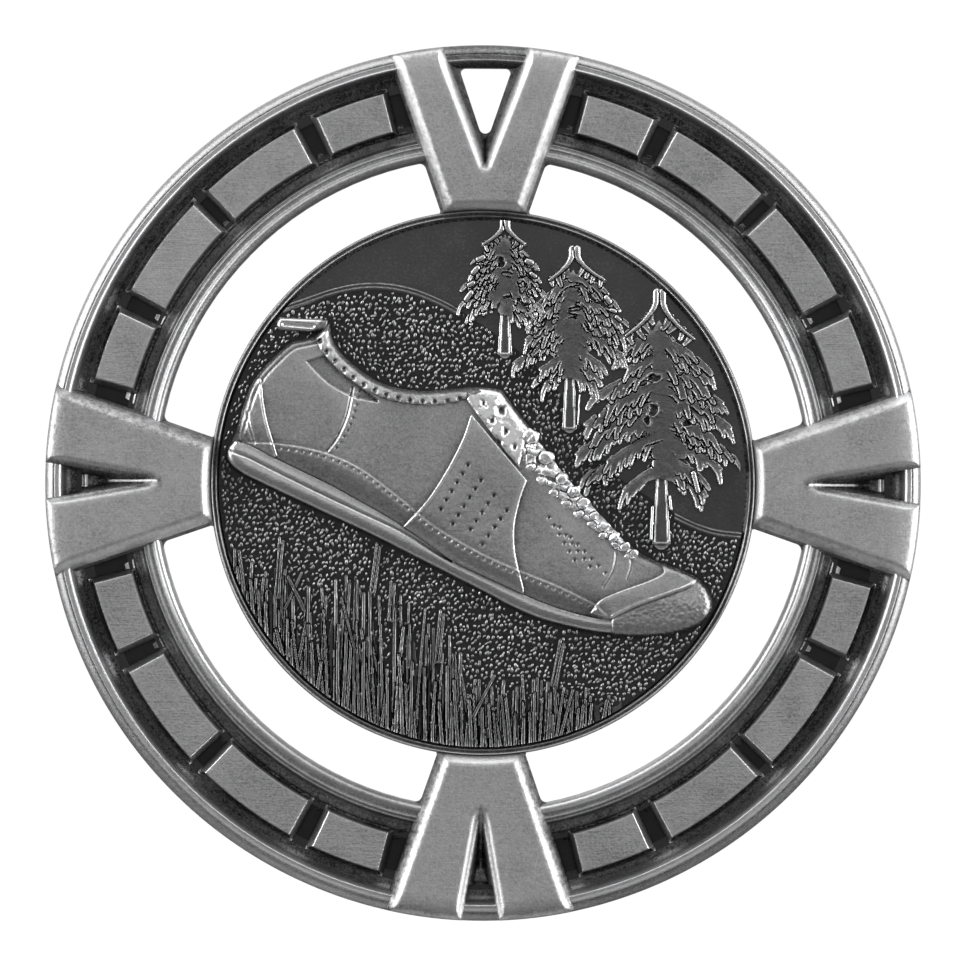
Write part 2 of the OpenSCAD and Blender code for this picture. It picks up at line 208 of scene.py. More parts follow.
def relief(name, X, Z, inside, top, floor, wear, nodes, material, sharp=50, under=0.25):
    """A closed solid over the part of a grid where inside is positive, from floor up to top.

    under is the wear of its underside as a share of the wear above it."""
    inside = inside.copy()
    inside[[0, -1], :] = np.minimum(inside[[0, -1], :], -1e-3)
    inside[:, [0, -1]] = np.minimum(inside[:, [0, -1]], -1e-3)
    inside[np.abs(inside) < 1e-4] = -1e-4
    solid = inside > 0
    fields = np.stack([X, Z, top, np.broadcast_to(floor, X.shape), wear], axis=-1)
    count = int(solid.sum())
    vertex = np.full(X.shape, -1)
    vertex[solid] = np.arange(count)
    rows = [fields[solid]]

    def crossings(a, b):
        """Points where the outline crosses the grid edges between the nodes a and b."""
        nonlocal count
        index = np.full(inside[a].shape, -1)
        cut = solid[a] != solid[b]
        t = (inside[a][cut] / (inside[a][cut] - inside[b][cut]))[:, None]
        rows.append(fields[a][cut] * (1 - t) + fields[b][cut] * t)
        index[cut] = np.arange(count, count + cut.sum())
        count += int(cut.sum())
        return index

    lower, upper, every = slice(None, -1), slice(1, None), slice(None)
    along_x = crossings((lower, every), (upper, every))
    along_z = crossings((every, lower), (every, upper))
    corner = {
        "0": vertex[:-1, :-1], "1": vertex[1:, :-1], "2": vertex[1:, 1:], "3": vertex[:-1, 1:],
        "a": along_x[:, :-1], "b": along_z[1:, :], "c": along_x[:, 1:], "d": along_z[:-1, :],
    }
    case = sum((corner[str(k)] >= 0) * 2**k for k in range(4))
    tops, rims = [], []
    for number, shapes in CELL_SHAPES.items():
        at = case == number
        for shape in shapes:
            tops.append(np.stack([corner[c][at] for c in shape], axis=1))
            for c, d in zip(shape, shape[1:] + shape[0]):
                if c in "abcd" and d in "abcd":
                    rims.append(np.stack([corner[c][at], corner[d][at]], axis=1))
    data = np.vstack(rows)
    rims = np.vstack(rims)
    walls = np.stack([rims[:, 1], rims[:, 0], rims[:, 0] + count, rims[:, 1] + count], axis=1)
    bottoms = [p[:, ::-1] + count for p in tops]
    points = np.vstack([data[:, [0, 1, 2]], data[:, [0, 1, 3]]])
    shade = np.concatenate([data[:, 4], under * data[:, 4]])
    return make_piece(name, points, tops + [walls] + bottoms, shade, nodes, material, sharp)


def turned_ring(node, outline, wear, inner_limit=None, arcs=None, painted_light_by_bearing=None):
    """A rim: an outline of (radius, height) points turned round the medal's axis, whole or in arcs."""
    n = len(outline)
    points, quads, caps, shade, start = [], [], [], [], 0
    for low, high in arcs or [(0, 360)]:
        turns = int(2 * (high - low))
        angle = np.radians(low + (high - low) * np.arange(turns + bool(arcs)) / turns)
        R, H = (np.repeat(outline[None, :, k], len(angle), axis=0) for k in (0, 1))
        if inner_limit:
            R = np.maximum(R, inner_limit(angle)[:, None])
        ring = np.stack([R * np.sin(angle)[:, None], R * np.cos(angle)[:, None], H], axis=-1)
        points.append(ring.reshape(-1, 3))
        i, k = np.meshgrid(np.arange(turns), np.arange(n), indexing="ij")
        j, m = (i + 1) % len(angle), (k + 1) % n
        quads.append(start + np.stack([i * n + k, i * n + m, j * n + m, j * n + k], axis=-1).reshape(-1, 4))
        if arcs:
            caps.append(start + np.arange(n)[None, ::-1])
            caps.append(start + turns * n + np.arange(n)[None, :])
        # Painted light and shade, set by bearing round the medal
        bearing_light = painted_light_by_bearing(np.degrees(angle)[:, None] % 360, R) if painted_light_by_bearing else 1
        shade.append((bearing_light * wear + 0 * R).ravel())
        start += len(angle) * n
    make_piece(node + "_band", np.vstack(points), quads + caps, np.concatenate(shade), [node],
               RIM_SILVER, sharp=60)


# Materials ---


def ramp_node(tree, factor, stops):
    node = tree.nodes.new("ShaderNodeValToRGB")
    elements = node.color_ramp.elements
    while len(elements) < len(stops):
        elements.new(0.5)
    for element, (position, tone) in zip(elements, stops):
        element.position = position
        element.color = (tone, tone, tone * 1.01, 1)
    tree.links.new(factor, node.inputs[0])
    return node.outputs[0]


def math_node(tree, operation, a, b, c=0.0, clamp=False):
    node = tree.nodes.new("ShaderNodeMath")
    node.operation = operation
    node.use_clamp = clamp
    for socket, value in zip(node.inputs, (a, b, c)):
        if isinstance(value, (int, float)):
            socket.default_value = value
        else:
            tree.links.new(value, socket)
    return node.outputs[0]


def noise_node(tree, vector, scale, detail=2.0, stretch=(1, 1, 1), turn=0.0):
    mapping = tree.nodes.new("ShaderNodeMapping")
    mapping.inputs["Scale"].default_value = stretch
    mapping.inputs["Rotation"].default_value = (0, turn, 0)
    tree.links.new(vector, mapping.inputs["Vector"])
    node = tree.nodes.new("ShaderNodeTexNoise")
    node.inputs["Scale"].default_value = scale
    node.inputs["Detail"].default_value = detail
    tree.links.new(mapping.outputs[0], node.inputs["Vector"])
    return node.outputs[0]


def silver(name, dark, middle, bright, even=None, grain=0.5, rough=(0.52, 0.3), mottle=0.35, streak=0.0,
           pocket=0.0, back=None):
    """Antique silver plate: the wear attribute runs from patina to worn metal.

    even is the wear of a CAD node, which has no attribute. streak is how far brush strokes show, pocket
    darkens what lies below the channel floor, and back is the wear of faces that don't look forward."""
    material = bpy.data.materials.new(name)
    material.use_nodes = True
    tree = material.node_tree
    link = tree.links.new
    shader = tree.nodes["Principled BSDF"]
    shader.inputs["Metallic"].default_value = 1.0
    place = tree.nodes.new("ShaderNodeTexCoord")
    in_mm = tree.nodes.new("ShaderNodeVectorMath")
    in_mm.operation = "SCALE"
    in_mm.inputs["Scale"].default_value = 1 / MM
    link(place.outputs["Object"], in_mm.inputs[0])
    at = in_mm.outputs[0]

    def scaled_sum(a, scale, b, clamp=False):
        return math_node(tree, "MULTIPLY_ADD", a, scale, b, clamp)

    def backward_part(vector):
        split = tree.nodes.new("ShaderNodeSeparateXYZ")
        link(vector, split.inputs[0])
        return split.outputs[1]

    clouds = noise_node(tree, at, 0.45, 3)
    specks = noise_node(tree, at, 5.5, 3)
    dust = noise_node(tree, at, 9, 2)
    lines = noise_node(tree, at, 3.2, 2, stretch=(0.22, 1, 3.5), turn=0.5)
    cross = noise_node(tree, at, 3.0, 2, stretch=(0.2, 1, 4.0), turn=-0.9)
    if even is None:
        attribute = tree.nodes.new("ShaderNodeAttribute")
        attribute.attribute_name = "wear"
        worn = attribute.outputs["Fac"]
        for pattern, share in ((clouds, mottle * 0.5), (specks, mottle), (dust, mottle), (lines, streak)):
            worn = scaled_sum(pattern, share, worn)
        worn = math_node(tree, "SUBTRACT", worn, mottle * 1.25 + streak * 0.5, clamp=True)
    else:
        worn = scaled_sum(clouds, mottle * 0.5, even - mottle * 0.75)
        worn = scaled_sum(specks, mottle, worn, clamp=True)
    if pocket:
        # Patina gathers in the pockets, which lie below the channel floor
        sunk = scaled_sum(backward_part(at), 4.0, 4.0 * (BASE - 0.05), clamp=True)
        worn = math_node(tree, "MULTIPLY", worn, scaled_sum(sunk, -pocket, 1.0))
    if back is not None:
        # The back and the edges are handled more than the sunk front, and keep less patina
        turned = scaled_sum(backward_part(place.outputs["Normal"]), 2.0, 1.4, clamp=True)
        cloudy = scaled_sum(clouds, 0.3, back - 0.15)
        change = math_node(tree, "MULTIPLY", math_node(tree, "SUBTRACT", cloudy, worn), turned)
        worn = math_node(tree, "ADD", worn, change, clamp=True)
    link(ramp_node(tree, worn, [(0.0, dark), (0.5, middle), (1.0, bright)]), shader.inputs["Base Color"])
    roughness = scaled_sum(worn, rough[1] - rough[0], rough[0])
    roughness = scaled_sum(math_node(tree, "SUBTRACT", specks, 0.5), 0.25, roughness, clamp=True)
    link(roughness, shader.inputs["Roughness"])
    height = scaled_sum(dust, 0.6, specks)
    height = scaled_sum(lines, 0.5, height)
    height = scaled_sum(cross, 0.3, height)
    bump = tree.nodes.new("ShaderNodeBump")
    bump.inputs["Strength"].default_value = grain
    bump.inputs["Distance"].default_value = 0.03 * MM
    link(height, bump.inputs["Height"])
    link(bump.outputs[0], shader.inputs["Normal"])
    return material


ARM_SILVER = silver("arm_silver", 0.05, 0.51, 0.78, rough=(0.55, 0.44), mottle=0.45, streak=0.12)
BLOCK_SILVER = silver("block_silver", 0.03, 0.52, 0.82, grain=0.8, mottle=0.45, streak=0.3)
RIM_SILVER = silver("rim_silver", 0.03, 0.42, 0.78, rough=(0.55, 0.42), mottle=0.45)
FLOOR_PATINA = silver("floor_patina", 0.015, 0.085, 0.5, even=0.42, grain=0.4, pocket=0.4, back=0.85)
SKY_PATINA = silver("sky_patina", 0.03, 0.115, 0.5, even=0.48, grain=0.35, rough=(0.45, 0.35), back=0.85)
GROUND_PATINA = silver("ground_patina", 0.015, 0.075, 0.3, even=0.35, grain=0.9)
STIPPLE_SILVER = silver("stipple_silver", 0.05, 0.32, 0.6)
SCENE_SILVER = silver("scene_silver", 0.02, 0.19, 0.7)
SHOE_SILVER = silver("shoe_silver", 0.04, 0.41, 0.78, mottle=0.45)
LACE_SILVER = silver("lace_silver", 0.12, 0.72, 0.95, rough=(0.5, 0.38))

# Rims ---


def rim_wear(outline, levels, foot_wear=0.06):
    """Wear along a rim's outline, from given levels (radius, wear)."""
    wear = np.interp(outline[:, 0], *np.transpose(levels))
    return np.where(outline[:, 1] < BASE + 0.12, foot_wear, wear)


def by_bearing(bearing, levels):
    """A level that changes round the medal, from given points (bearing, level)."""
    return np.interp(bearing, *np.transpose(levels), period=360)


# Painted light and shade: how much brighter or darker the rims are painted than their average where the
# light falls on them, by bearing clockwise from the top
FLANK_LIGHT_BY_BEARING = [(0, 0.7), (20, 0.78), (36, 1.0), (70, 0.9), (110, 0.65), (160, 0.42), (200, 0.8), (250, 0.6),
              (290, 0.85), (340, 0.85)]
BAND_LIGHT_BY_BEARING = [(0, 1.0), (20, 1.25), (70, 1.5), (110, 1.45), (160, 2.6), (200, 2.1), (250, 1.4), (290, 1.35),
             (340, 1.25)]
CREST_LIGHT_BY_BEARING = [(0, 0.6), (20, 0.6), (36, 0.45), (70, 1.5), (110, 0.95), (160, 1.6), (200, 0.6), (250, 1.4),
              (290, 0.8), (340, 0.6)]


def outer_rim():
    foot, high, flank = 29.5, RIM_TOP, 31.06
    out = smooth([
        (foot, BASE + 0.02), (29.85, BASE + 0.08), (30.2, BASE + 0.32), (30.42, high - 0.42),
        (30.53, high - 0.12), (30.61, high), (30.7, high - 0.05), (30.85, high - 0.07), (31.0, high - 0.07),
        (flank, high - 0.115), (31.13, high - 0.1), (31.3, high - 0.18), (31.5, high - 0.38),
        (31.66, high - 0.68), (MEDAL_R, BASE + 0.15), (MEDAL_R, BASE)
    ], 3)
    outline = np.vstack([out, [(foot, BASE)]])[::-1]
    wear = rim_wear(outline, [
        (foot, 0.1), (30.0, 0.1), (30.3, 0.14), (30.47, 0.3), (30.6, 0.75), (30.72, 0.5), (31.0, 0.48),
        (flank, 0.28), (31.15, 0.6), (31.35, 0.78), (MEDAL_R, 0.8)])

    def clear_of_opening(angle):
        return np.where((np.abs(np.sin(angle)) * 30 < 2.6) & (np.cos(angle) > 0), 30.12, 0)

    # Painted light and shade by bearing, and darker within a few degrees of the opening at the top
    def turn(bearing, R):
        off_top = np.minimum(bearing, 360 - bearing)
        bar = 1 - 0.55 * ease(off_top, 6.0, 4.9)
        return bar * np.where(R > flank, by_bearing(bearing, FLANK_LIGHT_BY_BEARING), by_bearing(bearing, BAND_LIGHT_BY_BEARING))
    turned_ring("outer_rim", outline, wear, clear_of_opening, painted_light_by_bearing=turn)


def inner_rim():
    high = INNER_RIM_TOP
    outline = smooth([
        (RING_IN_R, BASE), (RING_IN_R, BASE + 0.3), (23.68, high - 0.5), (23.77, high - 0.25),
        (23.9, high - 0.07), (24.06, high), (24.2, high - 0.06), (24.33, high - 0.2), (24.45, high - 0.25),
        (24.6, high - 0.26), (24.7, high - 0.22), (24.78, high - 0.26), (24.86, high - 0.36),
        (24.93, high - 0.36), (24.99, high - 0.34), (25.08, high - 0.52), (25.2, BASE + 0.2),
        (25.4, BASE + 0.1), (25.75, BASE + 0.07), (25.92, BASE)
    ], 3)[::-1]
    wear = rim_wear(outline, [
        (RING_IN_R, 0.5), (23.75, 0.6), (24.05, 0.9), (24.2, 0.75), (24.4, 0.4), (24.6, 0.4), (24.7, 0.7),
        (24.8, 0.3), (24.92, 0.4), (24.99, 0.65), (25.08, 0.25), (25.2, 0.24)], foot_wear=0.19)
    wear = np.where(outline[:, 0] > 25.85, 0.04, wear)

    # Painted light and shade by bearing on the inner crest
    def turn(bearing, R):
        return np.where(R < 24.3, by_bearing(bearing, CREST_LIGHT_BY_BEARING), 1)
    arcs = [(90 * k + 9.5, 90 * k + 80.5) for k in range(4)]
    turned_ring("inner_rim", outline, wear, arcs=arcs, painted_light_by_bearing=turn)


def disc_rim():
    high = top_of("disc_rim")
    outline = smooth([
        (19.05, BASE), (19.22, BASE + 0.06), (19.3, high - 0.12), (19.37, high), (19.44, high - 0.07),
        (19.53, high - 0.14), (19.61, high - 0.06), (19.69, high), (19.76, high - 0.08),
        (DISC_R, high - 0.25), (DISC_R, BASE)
    ], 3)[::-1]
    turned_ring("disc_rim", outline, rim_wear(outline, [
        (19.05, 0.1), (19.3, 0.3), (19.37, 0.75), (19.45, 0.3), (19.53, 0.12), (19.62, 0.3), (19.69, 0.75),
        (DISC_R, 0.5)]))


# Blocks ---

BLOCK_ANGLES = [19.8, 36.0, 54.0, 70.2]
BLOCK_SPANS = [10.3, 15.2, 15.2, 10.3]
BLOCK_OUTSIDE = section([
    (-0.33, BASE), (-0.31, BASE + 0.1), (-0.26, BASE + 0.13), (-0.22, BASE + 0.04), (-0.04, BASE + 0.05),
    (0.0, BASE + 0.2), (0.06, BLOCK_TOP - 0.25), (0.1, BLOCK_TOP - 0.06), (0.16, BLOCK_TOP), (0.6, BLOCK_TOP)
], 4)
BLOCK_INSIDE = section([
    (-0.26, BASE), (-0.12, BASE + 0.06), (-0.02, BASE + 0.22), (0.04, BLOCK_TOP - 0.25),
    (0.09, BLOCK_TOP - 0.06), (0.15, BLOCK_TOP), (0.6, BLOCK_TOP)
], 4)
BLOCK_END = section([
    (-0.34, BASE), (-0.28, BASE + 0.12), (-0.12, BASE + 0.5), (0.0, BLOCK_TOP - 0.2),
    (0.08, BLOCK_TOP - 0.06), (0.16, BLOCK_TOP), (0.6, BLOCK_TOP)
], 4)
OUTSIDE_WEAR = section([(-0.33, 0.1), (-0.27, 0.75), (-0.2, 0.05), (0.0, 0.05), (0.08, 0.6), (0.12, 0.85),
                        (0.2, 0.6), (0.35, 0.5), (0.5, 0.5)], 3)
INSIDE_WEAR = section([(-0.26, 0.05), (0.0, 0.08), (0.07, 0.6), (0.1, 0.8), (0.18, 0.6), (0.35, 0.5),
                       (0.5, 0.5)], 3)
END_WEAR = section([(-0.34, 0.1), (-0.2, 0.5), (-0.05, 0.85), (0.1, 0.95), (0.2, 0.65), (0.35, 0.5),
                    (0.5, 0.5)], 3)
EDGE_STEPS = np.array([-0.36, -0.33, -0.29, -0.25, -0.2, -0.15, -0.08, -0.01, 0.02, 0.05, 0.08, 0.11, 0.14,
                       0.17, 0.22, 0.3, 0.45])
# Each block's shade; block_14 is the one that handling has brightened
BLOCK_SHADES = np.random.default_rng(44).uniform(-0.02, 0.04, 16) + 0.07 * (np.arange(16) == 13)


def edge_stations(half, interior):
    """Stations across a block: close together at its edges, evenly spaced between them."""
    left = -half + EDGE_STEPS
    middle = np.linspace(left[-1], -left[-1], interior + 2)[1:-1]
    return np.concatenate([left, middle, -left[::-1]])


def block(index):
    quarter, slot = divmod(index, 4)
    centre = math.radians(90 * quarter + BLOCK_ANGLES[slot])
    half_l = math.radians(BLOCK_SPANS[slot] / 2) * BLOCK_MID_R
    # The stations along the block run against the clock, so that the grid's tops face forward
    A, L = np.meshgrid(edge_stations(BLOCK_HALF_W, 14), edge_stations(half_l, 40)[::-1], indexing="ij")
    R = BLOCK_MID_R - 0.06 + A
    T = centre + L / BLOCK_MID_R
    outward = A > 0
    side, end = BLOCK_HALF_W - np.abs(A), half_l - np.abs(L)
    X, Z = R * np.sin(T), R * np.cos(T)
    top = np.minimum(np.where(outward, BLOCK_OUTSIDE(side), BLOCK_INSIDE(side)), BLOCK_END(end))
    top += 0.006 * noise(X, Z, 0.8, 40 + index) * (np.minimum(side, end) > 0.2)
    wear = np.where(end < side, END_WEAR(end), np.where(outward, OUTSIDE_WEAR(side), INSIDE_WEAR(side)))
    wear += 0.07 * noise(X, Z, 1.5, 60 + index) + BLOCK_SHADES[index]
    inside = np.minimum(end + 0.33, side + np.where(outward, 0.32, 0.25))
    name = "block_%02d" % (index + 1)
    relief(name + "_form", X, Z, inside, top, BASE, wear, [name], BLOCK_SILVER)


# Arms ---

# How far the surface falls below the arm's top, by distance from each edge
SHOULDER_FALL = section([(0, 1.5), (0.2, 0.97), (0.4, 0.62), (0.55, 0.42), (0.75, 0.21), (0.95, 0.07),
                         (1.15, 0.01), (1.35, 0)], 6)
OUTER_FALL = section([(0, 1.3), (0.04, 0.75), (0.13, 0.48), (0.3, 0.26), (0.55, 0.13), (0.9, 0.05),
                      (1.3, 0.01), (1.6, 0)], 6)
INNER_FALL = section([(0, 1.3), (0.05, 0.68), (0.15, 0.45), (0.32, 0.23), (0.5, 0.08), (0.68, 0.01),
                      (0.85, 0)], 6)
NOTCH_FALL = section([(-1.2, ARM_TOP - 1.3), (-0.9, ARM_TOP - 1.33), (-0.6, ARM_TOP - 1.5), (-0.3, 1.25),
                      (-0.1, 0.8), (0, 0.58), (0.15, 0.36), (0.35, 0.15), (0.55, 0.03), (0.75, 0)], 6)

# How each arm is turned into place, in degrees, and how its tone is set, as if it pointed up: the painted
# light and shade on its left shoulder, right shoulder and outer end, and on its notch's left and right edges,
# where the light falls on each arm in its own way. The rest are what one arm alone has: gain outwards, loss
# at the shoulders' edges and at the inner end, and gain at the outer end.
ARMS = {
    "arm_top": dict(turn=0, left=1.0, right=1.1, end=0.65, notch_edge_light=(0.8, 0.8), outward=0.02),
    "arm_right": dict(turn=90, left=0.85, right=0.95, end=0.9, notch_edge_light=(0.2, 0.25), root_loss=0.3, end_gain=0.3),
    "arm_bottom": dict(turn=180, left=0.85, right=0.85, end=0.75, notch_edge_light=(0.85, 0.85), edge_loss=0.5),
    "arm_left": dict(turn=270, left=1.45, right=0.65, end=0.7, notch_edge_light=(0.4, 0.2)),
}
LOOP_RADIUS, LOOP_TIP_RADIUS, LOOP_TOP, LOOP_HALF_W, LOOP_HEIGHT = 0.35, 0.45, MEDAL_R - 1.65, 1.8, 4.75


def wedge_distance(U, V, tip, slope):
    """Distance outside a wedge that opens outward from its tip, negative inside it."""
    angle = math.atan(slope)
    along = np.abs(U) * math.sin(angle) + (V - tip) * math.cos(angle)
    beside = np.abs(U) * math.cos(angle) - (V - tip) * math.sin(angle)
    return np.where(along < 0, np.hypot(U, V - tip), beside)


def loop_outline():
    """The ribbon opening: a rounded triangle, point down."""
    across, high = LOOP_HALF_W - LOOP_RADIUS, LOOP_TOP - LOOP_RADIUS
    tip = (0, LOOP_TOP - LOOP_HEIGHT + LOOP_TIP_RADIUS)
    out = []
    corners = [((across, high), LOOP_RADIUS, 90, -15), (tip, LOOP_TIP_RADIUS, -15, -165),
               ((-across, high), LOOP_RADIUS, 195, 90)]
    for (x, z), radius, start, end in corners:
        for turn in np.radians(np.linspace(start, end, 12)):
            out.append((x + radius * math.cos(turn), z + radius * math.sin(turn)))
    return out


def fillet_union(a, b, radius):
    """Union of two fields that are positive inside, with a rounded inner corner."""
    u, v = np.maximum(radius + a, 0), np.maximum(radius + b, 0)
    return -(np.maximum(radius, -np.maximum(a, b)) - np.hypot(u, v))


def arm_grid():
    """Rows of equal radius, and columns that fan out with the sides of an arm that points up."""
    radii = np.concatenate([np.linspace(19.72, 20.7, 22), np.linspace(20.8, RING_IN_R - 0.04, 30),
                            [RING_IN_R - 0.002, RING_IN_R + 0.002], np.linspace(23.72, 31.0, 90),
                            np.linspace(31.04, 31.76, 19)])
    edge = np.concatenate([np.linspace(0.66, 1.0, 41), np.linspace(1.01, 1.2, 13)])
    share = np.concatenate([-edge[::-1], np.linspace(-0.65, 0.65, 107), edge])[::-1]
    R, S = np.meshgrid(radii, share, indexing="ij")
    a, b = S * ARM_SIDE, S * (ARM_ROOT_HALF_W - DISC_R * ARM_SIDE)
    V = (-a * b + np.sqrt(a * a * b * b - (1 + a * a) * (b * b - R * R))) / (1 + a * a)
    return R, a * V + b, V


def arm(node, turn, left, right, end, notch_edge_light, outward=0.0, edge_loss=0.0, root_loss=0.0, end_gain=0.0):
    R, U, V = arm_grid()
    side = (ARM_ROOT_HALF_W + (V - DISC_R) * ARM_SIDE - np.abs(U)) * math.cos(ARM_SIDE_ANGLE)
    outer = 31.73 - R
    inner = R - 19.78
    window = fillet_union(fillet_union(side, R - RING_IN_R, 0.4), DISC_R + 0.02 - R, 0.2)
    body = np.where((R < RING_IN_R) & (R > DISC_R + 0.02), window, side)
    inside = np.minimum(np.minimum(body, outer), inner)
    fall = np.hypot(np.hypot(SHOULDER_FALL(np.maximum(side, 0)), OUTER_FALL(outer)), INNER_FALL(inner))
    top = np.maximum(ARM_TOP - fall, ARM_TOP - 1.5)
    if node == "arm_top":
        # Its notch is open, with the ribbon opening inside it
        notch = wedge_distance(U, V, 23.1, 0.385)
        inside = np.minimum(inside, -inside_distance(U, V, loop_outline()) - 0.01)
        inside = np.minimum(inside, -np.minimum(V - 30.12, -notch - 0.35))
        top = np.minimum(top, ARM_TOP - NOTCH_FALL(notch))
    else:
        notch = wedge_distance(U, V, 23.6, 0.176)
        depth = 0.45 * ease(V, 23.3, 24.6)
        lip = ARM_TOP - depth * bell(np.maximum(notch, 0), 0.32)
        wall = ARM_TOP - depth + 2.8 * np.minimum(notch, 0)
        floor_line = np.maximum(1.62, ARM_TOP - 0.03 - 0.45 * (V - 23.6)) - 0.28 * ease(V, 28.8, 29.06)
        floor_line -= 0.14 * ease(np.abs(U), 0.05, 0.24) * (V < 28)
        top = np.minimum(top, np.where(notch < 0, np.maximum(wall, floor_line), lip))
        inside = np.minimum(inside, -np.minimum(-notch - 0.1, V - 29.1))
    wear = 0.53 + 1.7 * (top - blurred(top, 5)) + 0.06 * noise(U, V, 2.5, 3 + turn) + outward * (V - 26)
    # Painted light and shade on each shoulder and on the outer end, as the light falls on this arm
    on_shoulder = ease(side, 1.35, 0.9)
    wear *= 1 + (np.where(U < 0, left, right) - 1) * on_shoulder
    wear *= 1 + (end - 1) * ease(outer, 0.9, 0.3)
    wear *= 1 - edge_loss * ease(side, 0.72, 0.45)
    wear *= 1 - root_loss * ease(inner, 0.8, 0.3)
    wear += end_gain * ease(outer, 2.3, 0.5) * (1 + 0.5 * noise(U, V, 0.3, 6))
    beside_notch = bell(np.maximum(notch, 0), 0.4)
    rough_edge = np.maximum(np.maximum(on_shoulder, ease(outer, 0.9, 0.4)), beside_notch)
    wear += 0.14 * noise(U, V, 0.22, 5) * rough_edge
    # Painted light and shade along the notch's two edges
    wear *= 1 + (np.where(U < 0, *notch_edge_light) - 1) * beside_notch
    wear = np.where(top < 2.3, np.minimum(wear, 0.22 + 0.1 * noise(U, V, 0.35, 8)), wear)
    if node in ("arm_left", "arm_right"):
        # A painted highlight runs down the ridge in the middle of the notch and fades, and a painted
        # highlight lies on the step that ends it
        ridge_highlight = (np.abs(U) < 0.09) & (V > 23.55) & (V < 27.2) & (notch < 0.1)
        wear = np.where(ridge_highlight, 0.7 - 0.1 * (V - 23.55) + 0.1 * noise(U, V, 0.2, 9), wear)
        wear = np.where((np.abs(U) < 0.42) & (V > 28.7) & (V < 29.1), 1.0, wear)
    c, s = math.cos(math.radians(turn)), math.sin(math.radians(turn))
    floor_level = np.where(R < RING_IN_R, 0.0, BASE)
    relief(node + "_form", U * c + V * s, V * c - U * s, inside, top, floor_level, wear, [node],
           ARM_SILVER, sharp=70, under=0.65)


def pocket_ramps():
    """Small slopes at the inner ends of the pockets between the blocks."""
    points, wear, faces = [], [], []
    profile = [(25.92, BASE - 0.02), (25.98, BASE + 0.08), (26.75, BASE - 0.5), (25.92, BASE - 0.5)]
    edges = [a + side * (span / 2) for a, span in zip(BLOCK_ANGLES, BLOCK_SPANS) for side in (-1, 1)]
    gaps = [(edges[0] - 1.1, 1.2)]
    gaps += [((edges[i] + edges[i + 1]) / 2, 0.9) for i in (1, 3, 5)]
    gaps += [(edges[7] + 1.1, 1.2)]
    for quarter in range(4):
        for bearing, width in gaps:
            turn = math.radians(90 * quarter + bearing)
            out = np.array([math.sin(turn), math.cos(turn)])
            across = np.array([math.cos(turn), -math.sin(turn)])
            start = len(points)
            for r, h in profile:
                for u in (-0.45 * width, 0.35 * width):
                    points.append((*(out * r + across * u * (27.3 - r) / 1.38), h))
                    # Painted highlight: the ramps near the left and right of the medal are painted brighter
                    wear.append(0.08 + 0.5 * abs(math.sin(turn)) ** 6)
            sides = [(2 * k, 2 * n, 2 * n + 1, 2 * k + 1) for k, n in ((0, 1), (1, 2), (2, 3), (3, 0))]
            faces.extend(start + np.array(sides + [(6, 4, 2, 0), (1, 3, 5, 7)]))
    make_piece("pocket_ramps", np.array(points), [np.array(faces)], np.array(wear), [],
               BLOCK_SILVER, sharp=30)


outer_rim()
inner_rim()
disc_rim()
for number in range(16):
    block(number)
pocket_ramps()
for node, looks in ARMS.items():
    arm(node, **looks)

# Outlines of the scene on the disc ---

SOLE_TOP = smooth([
    (-18.2, 2.9), (-17, 2.65), (-15, 1.65), (-13, 0.7), (-11, -0.25), (-9, -1.35), (-7, -2.45), (-5, -3.7),
    (-3.5, -4.75), (-2, -5.75), (0, -6.7), (2, -7.6), (4, -8.5), (6, -9.2), (8, -9.7), (9.4, -9.85)
])
SOLE_BOTTOM = smooth([
    (9.4, -10.95), (8, -10.8), (6, -10.4), (4, -9.85), (2, -9), (0, -7.95), (-4, -5.95), (-8, -3.95),
    (-12, -2.1), (-16, -0.25), (-17.5, 0.5), (-18.3, 1.1), (-18.65, 1.8), (-18.5, 2.5), (-18.2, 2.9)
])
TOE = smooth([
    (9.4, -10.95), (11, -11.05), (13, -10.95), (14.5, -10.65), (15.7, -10.15), (16.45, -9.45), (16.65, -8.7),
    (16.4, -7.8), (15.9, -7.1), (15.2, -6.6), (14, -6.1), (12.6, -5.6), (11.4, -5)
])
LACE_EDGE = smooth([
    (11.4, -5), (10.3, -4.1), (8.9, -2.6), (7.4, -1.05), (5.9, 0.5), (4.7, 2.2), (3.4, 4), (2.2, 5.5),
    (1.3, 6.7)
])
COLLAR_TOP = smooth([
    (1.3, 6.7), (0.4, 6.85), (-1, 6.9), (-4, 6.65), (-6, 6.8), (-7.5, 7.25), (-9, 8.15), (-10.1, 9.1),
    (-10.8, 10), (-11.1, 10.8), (-11.15, 11.6)
])
HEEL_BACK = smooth([
    (-12.3, 10.5), (-13.2, 10.3), (-14, 10.05), (-14.8, 9.4), (-15.6, 8.6), (-16.3, 7.8), (-16.9, 6.8),
    (-17.3, 5.7), (-17.6, 4.6), (-17.9, 3.6), (-18.2, 2.9)
])
TOE_SEAM = smooth([(7.8, -9.4), (8.5, -8.45), (10, -7.75), (12, -7), (13.1, -6.4), (12.9, -5.8)])
COUNTER_EDGE = smooth([(-16.1, 7.5), (-16, 6.6), (-15.9, 5.7), (-15.6, 4.2), (-15.2, 2.9), (-14.9, 1.9)])
COLLAR_LOW = smooth([
    (-12.2, 10.4), (-11.6, 9.2), (-10.4, 8), (-9, 6.9), (-7, 6), (-5, 5.65), (-3, 5.65), (-1.4, 6)
])
PANEL_LOW = smooth([(-1.2, 6), (-0.4, 4.9), (0.6, 3.6), (1.6, 2.3), (2.8, 1)])
SADDLE_BACK = smooth([(-0.9, 5), (-1.5, 3.2), (-2.6, 1), (-4, -1.2), (-5.6, -3)])
SADDLE_FRONT = smooth([(3, -7.6), (2.4, -5.2), (2.3, -3.2), (2.7, -1.2), (3.2, 0.2)])
